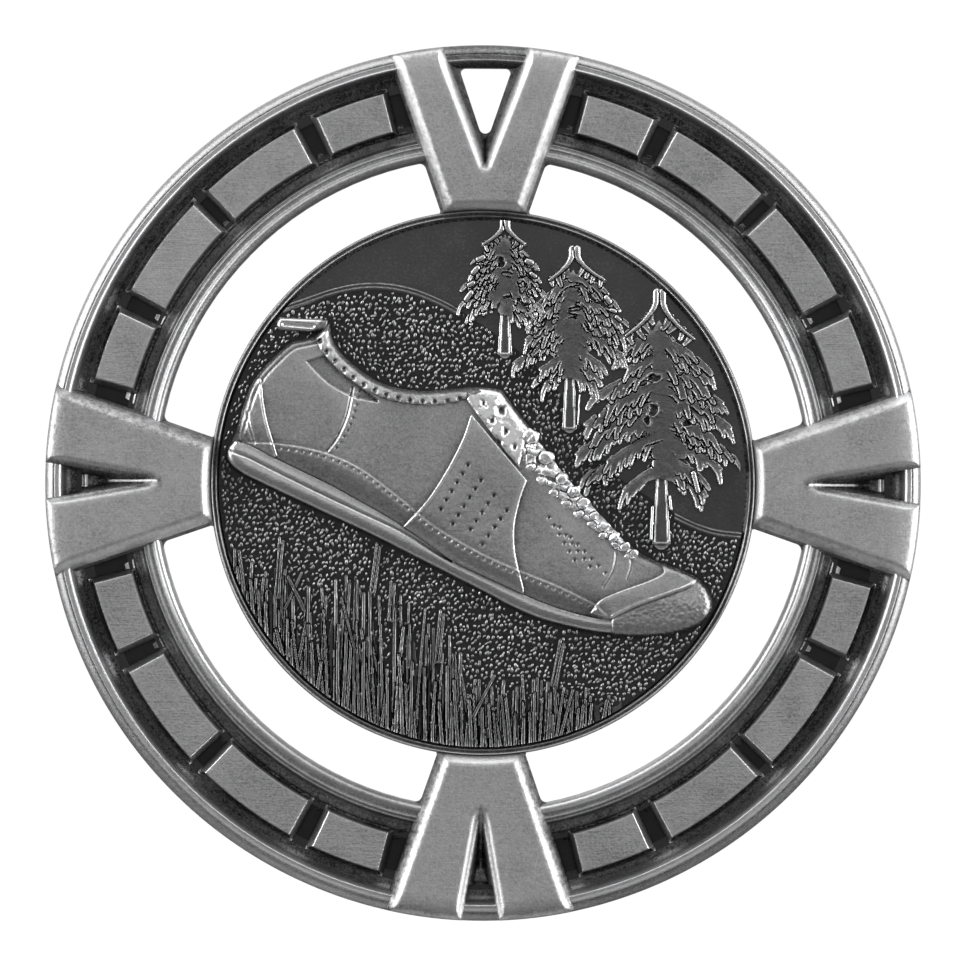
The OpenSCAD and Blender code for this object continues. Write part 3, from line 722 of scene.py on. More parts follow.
LEFT_HILL = smooth([
    (-14.6, 12.75), (-13, 13.3), (-11, 14), (-9, 14.4), (-7, 14.4), (-5, 14), (-3, 13.2), (-1.7, 12.5)
])
BEHIND_TREES = smooth([(-1.7, 12.5), (2.5, 9.6), (5, 7.2), (7.3, 4), (9, 1.2), (11, -0.3), (13.9, -2.1)])
RIGHT_HILL = smooth([(13.9, -2.1), (15.5, -2.85), (17, -3.3), (18.85, -3.5)])
GRASS_TOPS = np.transpose([
    (-17.6, -5.1), (-16.6, -5.8), (-15, -6.1), (-13.5, -7.6), (-12, -8.2), (-10.5, -7), (-8.5, -6.8),
    (-6.8, -7.4), (-5, -9.2), (-3.6, -10.2), (-2, -11.5), (-0.5, -13.8), (1.5, -14.6), (4.2, -13.8),
    (6.8, -14.1), (8.2, -15.4)
])
UPPER_EDGES = np.vstack([TOE, LACE_EDGE, COLLAR_TOP, HEEL_BACK])
UPPER_OUTLINE = np.vstack([SOLE_TOP, UPPER_EDGES])
SOLE_OUTLINE = np.vstack([SOLE_TOP, SOLE_BOTTOM])
SHOE_OUTLINE = np.vstack([SOLE_BOTTOM[::-1], UPPER_EDGES])
HILL_OUTLINE = np.vstack([[(-19.8, 10.5)], LEFT_HILL - (0, 0.55), BEHIND_TREES, RIGHT_HILL - (0, 0.55),
                          [(19.8, -4.2), (19.8, -19.8), (-19.8, -19.8)]])


class Canvas:
    """A patch of relief. Strokes are stamped into it, and later ones lie on earlier ones."""

    def __init__(self, x0, x1, z0, z1, step, ground):
        self.step = step
        self.ground = ground
        self.x = np.arange(x0, x1, step)
        self.z = np.arange(z0, z1, step)
        self.X, self.Z = np.meshgrid(self.x, self.z, indexing="ij")
        self.top = np.full(self.X.shape, float(ground))
        self.inside = np.full(self.X.shape, -1.0)
        self.shine = np.zeros(self.X.shape)

    def window(self, path, margin):
        low, high = path.min(axis=0) - margin, path.max(axis=0) + margin
        i = np.searchsorted(self.x, [low[0], high[0]])
        j = np.searchsorted(self.z, [low[1], high[1]])
        return slice(*i), slice(*j)

    def stamp(self, at, s, height, shine=0.0):
        """Lays a shape over the window: s is the distance inside it, and shine is added to its wear."""
        inside = self.inside[at]
        edge = (s > 0) | ((inside <= 0) & (s > -1.6 * self.step))
        self.top[at][edge] = height[edge]
        self.shine[at][edge] = shine
        np.maximum(inside, s, out=inside)

    def plate(self, s, height):
        """Stamps a flat shape whose field s covers the whole canvas."""
        self.stamp((slice(None), slice(None)), s, np.full(s.shape, height))

    def stroke(self, path, half_w, level, rim=0.1, line=0.05, gap=0.07, dome=0.0, rim_from=0.3, shine=0.0):
        """A finger along a path, from its root to its tip, with a raised line along its edge."""
        path = np.asarray(path, float)
        at = self.window(path, max(half_w) + 0.2)
        d, t = line_distance(self.X[at], self.Z[at], path)
        width = half_w[0] + (half_w[1] - half_w[0]) * t
        s = width - d
        height = level[0] + (level[1] - level[0]) * t
        height += rim * bell(s - line, line) * ease(t, rim_from - 0.25, rim_from)
        height += dome * np.sqrt(np.clip(1 - (d / width) ** 2, 0, 1))
        beside = (s <= 0) & (s > -gap) & (self.inside[at] > 0) & ((t > 0.8 * rim_from) | (rim == 0))
        self.top[at][beside] = np.minimum(self.top[at][beside], height[beside] - rim - 0.14)
        self.stamp(at, s, height, shine)

    def post(self, path, half_w, level, dome=0.0, gap=0.0, shine=0.0):
        """A stroke without the raised line, flat or domed, at one level."""
        self.stroke(path, half_w, (level, level), rim=0, gap=gap, dome=dome, shine=shine)

    def fan(self, parts, level, outlined, rim=0.095, line=0.04, gap=0.06):
        """One plain plate made of several fingers (path, root width, tip width), with a line on its edge.

        outlined(X, Z) is 1 where the line and the gap beside it are full and 0 where there are none."""
        at = self.window(np.vstack([path for path, _, _ in parts]), max(max(w) for _, *w in parts) + 0.2)
        X, Z = self.X[at], self.Z[at]
        s = np.full(X.shape, -1.0)
        for path, w0, w1 in parts:
            d, t = line_distance(X, Z, path)
            s = np.maximum(s, w0 + (w1 - w0) * t - d)
        s += 0.03 * noise(X, Z, 0.3, 19)
        line_here = outlined(X, Z)
        beside = (s <= 0) & (s > -gap) & (self.inside[at] > 0) & (line_here > 0.5)
        self.top[at][beside] = np.minimum(self.top[at][beside], level - 0.16)
        self.stamp(at, s, level + rim * bell(s - line, line) * line_here)

    def wear(self, base, gain, radius):
        """Wear: what stands above its surroundings is bright, what lies below them dark."""
        H = np.where(self.inside > 0, self.top, self.ground)
        return base + gain * (H - blurred(H, max(1, round(radius / self.step)))) + self.shine

    def in_field(self, margin=0.0):
        """The relief's field, cut off where it passes the disc's field."""
        return np.minimum(self.inside, FIELD_R + margin - np.hypot(self.X, self.Z))

    def covers(self, X, Z, margin):
        """Whether the relief, grown by the margin, covers each point."""
        i = np.clip(np.searchsorted(self.x, X), 0, len(self.x) - 1)
        j = np.clip(np.searchsorted(self.z, Z), 0, len(self.z) - 1)
        out = (X < self.x[0]) | (X > self.x[-1]) | (Z < self.z[0]) | (Z > self.z[-1])
        return (self.inside[i, j] > -margin) & ~out

    def solid(self, name, node, inside, floor, wear):
        relief(name, self.X, self.Z, inside, self.top, floor, wear, [node], SCENE_SILVER,
               sharp=75)


# Trees ---

# Each tree's apex and foot, its trunk's half width, the size of its boughs' fingers, the top of its plain
# plate, and the tips of its boughs down each side. Stubs are blunt bright ends (from, to, half width), and
# gaps are dark holes in the crown (x, z, half sizes).
TREES = {
    "tree_right": dict(
        apex=(12.7, 14.05), foot=(12.95, -4.3), trunk_w=0.56, size=1.15, plate_top=11.9,
        left=[(10.2, 10.6), (9.6, 9.2), (7.9, 6.2), (7.4, 4.3), (6.8, 2.1), (7.3, 0.3), (10.2, -0.5)],
        right=[(15.3, 10.4), (16.4, 8.1), (17.3, 5.9), (17.9, 4.1), (18.3, 1.8), (17.2, 1.1), (15.6, -0.6)],
        stubs=[((15.25, 0.8), (15.6, -0.5), 0.2), ((12.3, -1.7), (12.2, -4.0), 0.13),
               ((13.55, -0.9), (13.65, -1.8), 0.12)],
        gaps=[(12.35, 7.7, 0.5, 0.28), (12.3, 5.35, 0.42, 0.42), (11.9, 4.6, 0.25, 0.35),
              (14.7, 4.4, 0.35, 0.25)]),
    "tree_middle": dict(
        apex=(6.52, 17.1), foot=(6.25, 4.0), trunk_w=0.44, size=0.95, plate_top=15.5,
        left=[(4.65, 14.65), (4.1, 13.1), (3.4, 11.7), (3.1, 10.4), (2.2, 8.7), (4.5, 7.15)],
        right=[(8.75, 14.7), (9.2, 13.3), (9.9, 11.9), (10.1, 10.6), (10.1, 9.2), (8.0, 7.1)],
        stubs=[((8.35, 14.75), (8.7, 14.7), 0.17), ((8.85, 13.5), (9.1, 13.2), 0.2),
               ((9.2, 12.6), (9.5, 12.5), 0.15), ((9.6, 12.1), (9.85, 11.9), 0.16),
               ((6.95, 6.4), (6.85, 4.3), 0.08)],
        gaps=[]),
    "tree_left": dict(
        apex=(1.48, 19.05), foot=(1.52, 9.35), trunk_w=0.42, size=0.75, plate_top=17.9,
        left=[(-0.15, 17.25), (-0.5, 16.25), (-0.9, 15.2), (-1.2, 14.4), (-1.5, 13.1), (-1.1, 12.1)],
        right=[(2.95, 17.3), (3.45, 16.05), (3.75, 15.05), (4.05, 14.0), (4.2, 12.7), (2.9, 11.7)],
        stubs=[((0.25, 17.3), (-0.1, 17.25), 0.15), ((2.6, 17.35), (2.9, 17.3), 0.15),
               ((-0.1, 16.35), (-0.45, 16.2), 0.2), ((3.1, 16.1), (3.4, 16.0), 0.22),
               ((-0.5, 15.6), (-0.8, 15.25), 0.2), ((3.4, 15.2), (3.7, 15.0), 0.16),
               ((-0.8, 14.5), (-1.1, 14.35), 0.18), ((-0.95, 13.8), (-1.3, 13.3), 0.2),
               ((3.85, 14.1), (4.0, 13.95), 0.13)],
        gaps=[(1.2, 16.0, 0.28, 0.4)]),
}

# The shoulders that fall from a tree's apex to its first tips, as shares of the way across and down
SHOULDER_CURVE = [(0.08, 0.03), (0.12, 0.3), (0.3, 0.52), (0.6, 0.75), (0.97, 0.96)]
TREE_LEVEL = GROUND + 0.36


def trunk(canvas, foot, top_z, half):
    """A flat post with thin raised edges and a foot line."""
    x, z = foot
    canvas.post([(x, top_z), (x, z + 0.1)], (0.5 * half, half), TREE_LEVEL - 0.12)
    for side in (-1, 1):
        canvas.stroke([(x + side * 0.5 * half, top_z), (x + side * half, z)], (0.07, 0.1),
                      (TREE_LEVEL - 0.06, TREE_LEVEL - 0.04), rim=0, gap=0, dome=0.07)
    canvas.post([(x - half, z), (x + half, z)], (0.07, 0.07), TREE_LEVEL - 0.06, dome=0.05)


def tree(node, number, apex, foot, trunk_w, size, plate_top, left, right, stubs, gaps):
    left, right, apex = np.array(left), np.array(right), np.array(apex)
    tips = np.vstack([left, right, [apex], [foot]])
    low, high = tips.min(axis=0) - 0.6, tips.max(axis=0) + 0.4
    canvas = Canvas(low[0], high[0], low[1], high[1], 0.045 + 0.013 * size, GROUND - 0.1)
    X, Z = canvas.X, canvas.Z
    crown_low = min(left[-1][1], right[-1][1]) + 0.6
    rng = np.random.default_rng(100 + number)

    def spine(z):
        return apex[0] + (foot[0] - apex[0]) * np.clip((apex[1] - z) / (apex[1] - foot[1]), 0, 1)

    def reach(z, side):
        """The crown's half width at a height."""
        xs, zs = np.vstack([apex, left if side < 0 else right])[::-1].T
        return abs(np.interp(z, zs, xs) - spine(z))

    def reach_here(X, Z):
        return np.where(X < spine(Z), reach(Z, -1), reach(Z, 1))

    def outlined(X, Z):
        """The line along a bough's edge fades out towards the middle of the tree."""
        share = np.abs(X - spine(Z)) / np.maximum(reach_here(X, Z), 0.3) + 0.25 * noise(X, Z, 0.8, 20)
        return ease(share, 0.12, 0.26)

    def fingers(path, side, shares, long, steep=(18, 48)):
        """Fingers that hang below a bough, steeper than it."""
        t = np.linspace(0, 1, len(path))
        along = (path[-1] - path[0]) / np.hypot(*(path[-1] - path[0]))
        out = []
        for share in shares:
            start = np.array([np.interp(share, t, path[:, 0]), np.interp(share, t, path[:, 1])])
            turn = -side * math.radians(rng.uniform(*steep))
            c, k = math.cos(turn), math.sin(turn)
            way = np.array([c * along[0] - k * along[1], k * along[0] + c * along[1]])
            end = start + way * size * long * rng.uniform(0.8, 1.3)
            w = size * rng.uniform(0.11, 0.16)
            out.append((bend(start, end, side * rng.uniform(0.04, 0.2)), 1.7 * w, w))
        return out

    def bough(tip, side, thick):
        """A long drooping bough: a plain fan, cut into fingers along its lower edge."""
        wide = abs(tip[0] - spine(tip[1]))
        lowness = (apex[1] - tip[1]) / (apex[1] - crown_low)
        root_z = tip[1] + wide * (0.28 + 0.3 * lowness)
        path = bend((spine(root_z) - 0.1 * side * wide, root_z), tip, side * rng.uniform(0.04, 0.14), 9)
        count = max(2, round(wide / (0.4 * size)))
        shares = np.linspace(0.25, 0.92, count) + rng.uniform(-0.05, 0.05, count)
        parts = fingers(path, side, shares, 1.15)
        parts.append((path, 0.5 * size * thick, 0.14 * size))
        canvas.fan(parts, TREE_LEVEL + rng.uniform(-0.01, 0.02), outlined)

    trunk(canvas, foot, crown_low + 1.2, trunk_w)
    # The plain plate behind the boughs
    half = reach_here(X, Z) * (0.36 + 0.12 * noise(X, Z, 0.5, 18))
    half = np.minimum(half, 0.8 * (plate_top - Z) + 0.15 * noise(X, Z, 0.3, 18))
    plate = 0.7 * np.minimum(half - np.abs(X - spine(Z)), Z - crown_low - 1.6 * size)
    canvas.plate(plate, TREE_LEVEL - 0.005)
    tiers = []
    for side, edge in ((-1, left), (1, right)):
        for (x, z), (_, z_above) in zip(edge[1:], edge):
            tiers.append((z, side, x, 1.0))
            if z_above - z > 0.9 * size:
                for share in (0.36, 0.7):
                    z_between = z + share * (z_above - z)
                    out = reach(z_between, side) * rng.uniform(0.6, 0.84)
                    tiers.append((z_between, side, spine(z_between) + side * out, 0.7))
    for z, side, x, thick in sorted(tiers):
        bough((x, z), side, thick)
    # Short lines over the plain middle
    for share in np.linspace(0.05, 0.95, 12):
        z = crown_low + 1.0 + share * (plate_top - crown_low - 1.4)
        for side in (-1, 1):
            x = spine(z) + side * rng.uniform(0.1, 0.4) * reach(z, side)
            start = np.array([x, z + rng.uniform(-0.3, 0.3)])
            end = start + size * rng.uniform(0.3, 0.7) * np.array([side * rng.uniform(0.3, 0.9), -0.7])
            canvas.stroke(bend(start, end, side * 0.15), (0.03, 0.045),
                          (TREE_LEVEL + 0.03, TREE_LEVEL + 0.06), rim=0, gap=0)
    for x, z, rx, rz in gaps:
        d = np.hypot((X - x) / rx, (Z - z) / rz) + 0.35 * noise(X, Z, 0.22, 17)
        canvas.top += 0.06 * bell(d - 1.1, 0.18) - 0.2 * ease(d, 0.95, 0.55)
    for start, end, half in stubs:
        canvas.post([start, end], (half, half), TREE_LEVEL - 0.02, dome=0.17, gap=0.05, shine=0.4)
    # The two shoulders of the apex, with small fingers below their outer ends; the left one is brighter with
    # a painted highlight
    for side, edge, shine in ((-1, left, 0.45), (1, right, 0.05)):
        path = smooth([apex + (edge[0] - apex) * share for share in SHOULDER_CURVE], 4)
        for finger in fingers(path, side, np.linspace(0.5, 0.92, 4), 0.7, steep=(40, 75)):
            canvas.fan([finger], TREE_LEVEL, outlined)
        canvas.stroke(path, (0.25, 0.1), (TREE_LEVEL + 0.02, TREE_LEVEL), rim=0, gap=0.05, dome=0.16,
                      shine=shine)
    canvas.solid(node + "_form", node, canvas.in_field(), BASE, canvas.wear(0.44, 2.5, 0.25))
    return canvas


# Grass, hills and ground ---

# Tall pairs of blades and single blades that cross the rest, as tip x, tip z, foot x, foot z
PAIRS = [(-14.6, -4.1, -14.85, -8.4), (-7.55, -4.45, -7.95, -8), (-6.5, -7.2, -6.65, -10),
         (-2.9, -9.3, -3.2, -13), (5.8, -11.4, 5.25, -14.6)]
CROSSING = [(-13.1, -6.6, -14.3, -9.2), (-14.1, -6.9, -12.9, -9.3), (0.9, -14.0, -0.6, -17),
            (-10.2, -8.4, -9.2, -12.2)]
GRASS_SPLIT_X = -6.0


def grass_blades(rng):
    """Every blade as its layer, foot and tip: two layers, with crossing ones, and the pairs on top."""
    blades = []
    for x in np.arange(-18.0, 9.4, 0.36):
        for layer in (0, 1):
            at = x + rng.uniform(-0.16, 0.16)
            tall = np.interp(at, *GRASS_TOPS) + rng.uniform(-1.3, 0.3)
            foot_z = -math.sqrt(max(FIELD_R**2 - at * at, 1)) - 0.1
            if layer:
                tall = foot_z + (tall - foot_z) * rng.uniform(0.3, 0.9)
            lean = rng.normal(0.05, 0.3) * min(1.0, (tall - foot_z) / 4)
            if rng.uniform() < 0.08:
                lean *= 3
            if tall - foot_z > 0.8:
                blades.append((layer, at, foot_z, at + lean, tall))
    for x, z, x1, z1 in PAIRS:
        for side in (-0.12, 0.12):
            blades.append((2, x1 + side, z1, x + side, z - abs(side + 0.12)))
    blades += [(1, x1, z1, x, z) for x, z, x1, z1 in CROSSING]
    return sorted(blades, key=lambda blade: (blade[0], rng.uniform()))


def grass():
    """Long blades over a plain plate. It is made in two halves."""
    rng = np.random.default_rng(7)
    level = GROUND + 0.16
    blades = grass_blades(rng)
    halves = {"left": Canvas(-18.6, GRASS_SPLIT_X + 0.05, -19.3, -3.5, 0.05, GROUND),
              "right": Canvas(GRASS_SPLIT_X - 0.05, 10.2, -19.3, -3.5, 0.05, GROUND)}
    for canvas in halves.values():
        foot_z = -np.sqrt(np.maximum(FIELD_R**2 - canvas.X**2, 1))
        tall = np.interp(canvas.X, *GRASS_TOPS) - foot_z
        plate = foot_z + tall * (0.55 + 0.25 * noise(canvas.X, 0 * canvas.Z, 0.35, 40)) - canvas.Z
        canvas.plate(np.minimum(plate, 0.5), level - 0.03)
    for layer, x1, z1, x0, z0 in blades:
        w = rng.uniform(0.1, 0.17)
        rise = level + 0.03 * min(layer, 1) + rng.uniform(0, 0.03)
        path = bend((x1, z1), (x0, z0), rng.uniform(-0.02, 0.02), 4)
        for canvas in halves.values():
            canvas.stroke(path, (w, 0.75 * w), (rise, rise + 0.03), rim=0.065, line=0.04, gap=0.045,
                          rim_from=0.02)
    for half, side in (("left", -1), ("right", 1)):
        canvas = halves[half]
        canvas.inside = np.minimum(canvas.in_field(0.05), side * (canvas.X - GRASS_SPLIT_X))
        canvas.solid("grass_" + half, "grass", canvas.inside, GROUND, canvas.wear(0.24, 2.4, 0.2))
    return list(halves.values())


def ridge(node, line):
    """A low ribbed line along the top of a hill."""
    low, high = line.min(axis=0) - 0.8, line.max(axis=0) + 0.5
    canvas = Canvas(low[0], high[0], low[1], high[1], 0.05, GROUND)
    below = canvas.Z < np.interp(canvas.X, line[:, 0], line[:, 1])
    signed = np.where(below, 1, -1) * line_distance(canvas.X, canvas.Z, line)[0]
    profile = section([(-0.1, 0), (0.0, 0.13), (0.06, 0.19), (0.13, 0.12), (0.2, 0.08), (0.27, 0.12),
                       (0.33, 0.17), (0.4, 0.1), (0.5, 0.02)], level=GROUND)
    canvas.top = profile(signed)
    ends = np.minimum(canvas.X - line[0, 0], line[-1, 0] - canvas.X)
    canvas.inside = np.minimum(np.minimum(signed + 0.08, 0.5 - signed), ends)
    canvas.inside = canvas.in_field()
    canvas.solid(node + "_line", node, canvas.inside, BASE, canvas.wear(0.4, 3.0, 0.2))


def ground_drops(canvases):
    """Small leaning drops, thickly sown over the ground where neither the shoe nor a canvas covers it."""
    rng = np.random.default_rng(50)
    columns, rows = np.arange(-19, 19, 0.35), np.arange(-19, 15, 0.41)
    X, Z = np.meshgrid(columns, rows, indexing="ij")
    X = X + 0.17 * (np.arange(len(rows)) % 2) + rng.uniform(-0.13, 0.13, X.shape)
    Z = Z + rng.uniform(-0.15, 0.15, Z.shape)
    keep = (inside_distance(X, Z, HILL_OUTLINE) > 0.12) & (np.hypot(X, Z) < FIELD_R - 0.12)
    keep &= inside_distance(X, Z, SHOE_OUTLINE) <= -0.12
    for canvas in canvases:
        keep &= ~canvas.covers(X, Z, 0.06)
    x, z = X[keep][:, None], Z[keep][:, None]
    sides = 8
    k = np.arange(sides)
    a = k * 2 * math.pi / sides
    lean = np.radians(rng.normal(-18, 20, x.shape))
    wide, long, tall, shine = (rng.uniform(low, high, x.shape)
                               for low, high in ((0.085, 0.15), (0.13, 0.26), (0.08, 0.19), (0.48, 1.1)))
    points, shade = [], []
    # The foot, flank and top of a drop; the top leans towards its upper end
    levels = [(1.0, 0.0, 0.05, 0.0), (0.75, 0.55, 0.5, 0.15), (0.34, 0.93, 0.95, 0.35)]
    for spread, lift, worn, shift in levels:
        u = wide * (spread * np.cos(a) + 0.4 * shift)
        v = long * (spread * np.sin(a) + shift)
        height = GROUND + (lift * tall if lift else -0.02) + 0 * u
        points.append(np.stack([x + u * np.cos(lean) - v * np.sin(lean),
                                z + u * np.sin(lean) + v * np.cos(lean), height], axis=-1))
        shade.append(worn * shine + 0 * u)
    start = 3 * sides * np.arange(len(x))[:, None]
    after = (k + 1) % sides
    quads = [np.stack([start + ring + k, start + ring + after, start + ring + sides + after,
                       start + ring + sides + k], axis=-1).reshape(-1, 4) for ring in (0, sides)]
    make_piece("ground_drops", np.concatenate(points, axis=1).reshape(-1, 3),
               quads + [start + 2 * sides + k, start + k[::-1]], np.concatenate(shade, axis=1).ravel(), [],
               STIPPLE_SILVER, sharp=80)


# Shoe ---

SHOE_X, SHOE_Z = np.meshgrid(np.arange(-19.2, 17.2, 0.065), np.arange(-11.6, 12.4, 0.065), indexing="ij")
SOLE_H = top_of("shoe_sole") - GROUND
SOLE_UPPER_EDGE = section([(0, 0.93), (0.06, 0.97), (0.15, 1.0), (0.3, 1.03), (0.5, SOLE_H), (1.2, SOLE_H)])
SOLE_LOWER_EDGE = section([(0, 0.2), (0.05, 0.5), (0.15, 0.74), (0.3, 0.89), (0.55, 0.99), (0.9, SOLE_H),
                           (1.4, SOLE_H)])
UPPER_HALVES_X = 0.5
GUARD_LINE = smooth([(-15, 2.8), (-12, 2.3), (-9, 1.1), (-6, -1.1), (-3.5, -3.1), (0, -5.1), (3, -6.4),
                     (5.5, -7.4), (8.2, -8.7)])
QUARTER_SEAM = smooth([(-9.5, 6.8), (-9.9, 4.8), (-10.6, 3.2), (-11.3, 2.25)])
LINING_OUTLINE = np.vstack([smooth([(-12.9, 8.7), (-11.4, 7.2), (-9.6, 6.2), (-7.6, 5.75)]),
                            smooth([(-7.6, 5.95), (-9.3, 7.2), (-10.6, 8.2), (-11.5, 9.2)])])
FLEX_LINES = [smooth([(9.4, -3.6), (9.7, -4.8), (9.5, -6.2), (8.8, -7.5)]),
              smooth([(10.6, -4.9), (10.8, -5.8), (10.5, -6.9)])]
BUMPER_LINE = smooth([(9.4, -9.8), (11, -9), (13, -8.25), (15, -7.5), (15.6, -6.9)])
COUNTER_RIBS = [smooth([(-16.6, 6.8), (-16.9, 6), (-16.95, 5), (-16.8, 4.2), (-16.4, 2.7)]),
                smooth([(-17.8, 3.6), (-17.4, 5.2), (-17.1, 4.2), (-16.7, 3)])]
SOLE_SPLIT = smooth([(-18.3, 2.2), (-17, 1.75), (-15, 0.75), (-12, -0.7), (-9, -2.1), (-6, -3.5),
                     (-3.5, -5.0), (-2.2, -5.7)])
# Holes of the eyestay (x, z, radius)
EYELETS = [(1.3, 5.25, 0.36), (0.0, 5.75, 0.2), (0.6, 4.5, 0.26), (1.6, 3.75, 0.17), (1.05, 3.0, 0.21),
           (2.3, 2.6, 0.15)]
# The knobs of the laces' two columns, from the top towards the toe
LEFT_KNOBS = [(2.75, 2.35), (3.5, 1.2), (4.3, 0.2), (5.15, -0.65), (6.1, -1.45), (7.0, -2.15), (7.9, -2.95),
              (8.75, -3.7), (9.65, -4.5), (10.55, -5.15)]
RIGHT_KNOBS = [(3.5, 3.35), (4.6, 1.9), (5.75, 0.4), (6.6, -0.55), (7.3, -1.35), (8.1, -2.25), (8.85, -3.1),
               (9.55, -3.8), (10.35, -4.5), (11.0, -5.05)]
SHOE_POLISH = {"shoe_collar": -0.4, "shoe_eyestay": 0.35, "shoe_sole": 0.36, "shoe_toe_cap": 0.05}


def crease(line, width):
    """A field over the shoe that is 1 on a line and falls away beside it."""
    return bell(line_distance(SHOE_X, SHOE_Z, line)[0], width)


def stitches(line, pitch, radius):
    """A field over the shoe that is 1 at small holes spaced along a line."""
    line = np.asarray(line, float)
    length = np.concatenate([[0], np.cumsum(np.hypot(*np.diff(line, axis=0).T))])
    holes = np.zeros(SHOE_X.shape)
    for at in np.arange(pitch / 2, length[-1], pitch):
        x, z = (np.interp(at, length, line[:, k]) for k in (0, 1))
        holes = np.maximum(holes, bell(np.hypot(SHOE_X - x, SHOE_Z - z), radius))
    return holes


def shoe_body(upper):
    """The upper's surface, without the parts that lie on it."""
    X, Z = SHOE_X, SHOE_Z
    # It rounds off towards its free edges, most of all along the laces, and dips towards the sole
    free = line_distance(X, Z, UPPER_EDGES)[0]
    body = GROUND + 0.62 + 0.27 * (1 - np.exp(-free / 0.25)) + 0.4 * (1 - np.exp(-free / 1.7))
    body -= 0.26 * np.exp(-line_distance(X, Z, LACE_EDGE)[0] / 0.9)
    body -= 0.37 * crease(SOLE_TOP, 1.1) * ease(X, 9.6, 7.6)
    body += 0.015 * noise(X, Z, 1.7, 5) + 0.007 * noise(X, Z, 0.35, 6)
    # A seam just inside the heel's edge, a guard along the sole, a curved seam and a sunk collar lining
    body -= 0.08 * bell(upper - 0.5, 0.09) * ease(X, -11.3, -12.0) * ease(Z, 3.0, 4.5)
    guard = inside_distance(X, Z, np.vstack([GUARD_LINE, SOLE_TOP[::-1]]))
    body += 0.1 * ease(guard, -0.02, 0.12) - 0.09 * stitches(GUARD_LINE - (0, 0.35), 0.55, 0.12)
    body -= 0.1 * crease(QUARTER_SEAM, 0.1) - 0.05 * crease(QUARTER_SEAM + (0.22, 0), 0.12)
    body -= 0.07 * stitches(QUARTER_SEAM + (0.55, 0), 0.5, 0.11)
    body -= 0.14 * ease(inside_distance(X, Z, LINING_OUTLINE), -0.06, 0.1)
    # Three rows of flex holes and two flex lines over the toes
    for row in range(3):
        start = np.array([4.6 + 0.75 * row, -2.2 - 0.75 * row])
        body -= 0.12 * stitches([start, start + (2.2 + 0.35 * row, -3.6 + 0.35 * row)], 0.72, 0.13)
    for line in FLEX_LINES:
        body -= 0.07 * crease(line, 0.11)
    return body


def shoe_panels(body, upper, bumper):
    """The parts that lie on the upper: name, distance inside, height, and a field of holes that stay dark."""
    X, Z = SHOE_X, SHOE_Z

    def overlay(node, outline, thick, edge, detail, holes=0.0):
        s = np.minimum(inside_distance(X, Z, outline), upper + 0.03)
        return node, s, body + 0.02 + thick * rounded(s, edge) + detail, holes

    saddle_outline = np.vstack([SADDLE_BACK, [(-7, -4.6), (3, -10)], SADDLE_FRONT])
    piping = crease(SADDLE_BACK + (0.22, -0.1), 0.06) + crease(SADDLE_FRONT + (-0.22, 0), 0.06)
    rows = [[(-0.9 + 0.95 * k, 1.6 - 1.1 * k), (-3.2 + 0.95 * k, -2.2 - 0.9 * k)] for k in range(4)]
    punched = sum(stitches(row, 0.75, 0.15) for row in rows)
    saddle = overlay("shoe_saddle", saddle_outline, 0.12, 0.12, 0.03 * piping - 0.13 * np.minimum(punched, 1),
                     0.5 * punched)

    cap_outline = np.vstack([TOE_SEAM, [(14, -5), (18, -6), (18, -12), (9.3, -12), (9.3, -9.75)]])
    cast = 0.02 * noise(X, Z, 0.16, 9) + 0.012 * noise(X, Z, 0.11, 10) - 0.06
    lip = 0.08 * crease(BUMPER_LINE + (0.05, 0.22), 0.1) - 0.12 * crease(BUMPER_LINE, 0.1)
    toe_cap = overlay("shoe_toe_cap", cap_outline, 0.13, 0.25, bumper * cast + lip)

    counter_outline = np.vstack([COUNTER_EDGE, [(-16, 1), (-20, 2), (-20, 7.5)]])
    ribs = (0.05 * crease(COUNTER_EDGE + (-0.13, 0), 0.08) + 0.06 * crease(COUNTER_RIBS[0], 0.08)
            + 0.05 * crease(COUNTER_RIBS[1], 0.07))
    counter = overlay("shoe_heel_counter", counter_outline, 0.08, 0.12, ribs)

    holes = stitches(COLLAR_LOW + (0.2, 0.2), 0.9, 0.17)
    collar = overlay("shoe_collar", np.vstack([COLLAR_LOW, COLLAR_TOP]), 0.2, 0.4,
                     0.025 * noise(X, Z, 0.3, 12) - 0.2 * np.minimum(holes, 1), holes)

    stay_outline = np.vstack([[(-1.25, 6.5), (-1.1, 7.0), (1.3, 6.9), (2.2, 5.5), (3.4, 4.0), (2.6, 1.3)],
                              PANEL_LOW[::-1]])
    uneven = 1 + 0.45 * noise(X, Z, 0.25, 13)
    eyelets = np.max([bell(np.hypot(X - x, (Z - z) * 0.8) * uneven, r) for x, z, r in EYELETS], axis=0)
    worn = 0.04 * noise(X, Z, 0.6, 14) + 0.02 * noise(X, Z, 0.2, 15)
    stay = overlay("shoe_eyestay", stay_outline, 0.2, 0.3, worn - 0.22 * eyelets, eyelets)
    return [saddle, toe_cap, counter, collar, stay]


def shoe_sole(sole):
    """A rounded outsole and midsole with a groove between them."""
    falls = [SOLE_H - SOLE_UPPER_EDGE(line_distance(SHOE_X, SHOE_Z, SOLE_TOP)[0]),
             SOLE_H - SOLE_LOWER_EDGE(line_distance(SHOE_X, SHOE_Z, SOLE_BOTTOM)[0])]
    top = GROUND + SOLE_H - np.hypot(*falls) - 0.16 * crease(SOLE_SPLIT, 0.09)
    return "shoe_sole", sole, np.maximum(top + 0.008 * noise(SHOE_X, SHOE_Z, 0.5, 30), GROUND + 0.05), 0.0


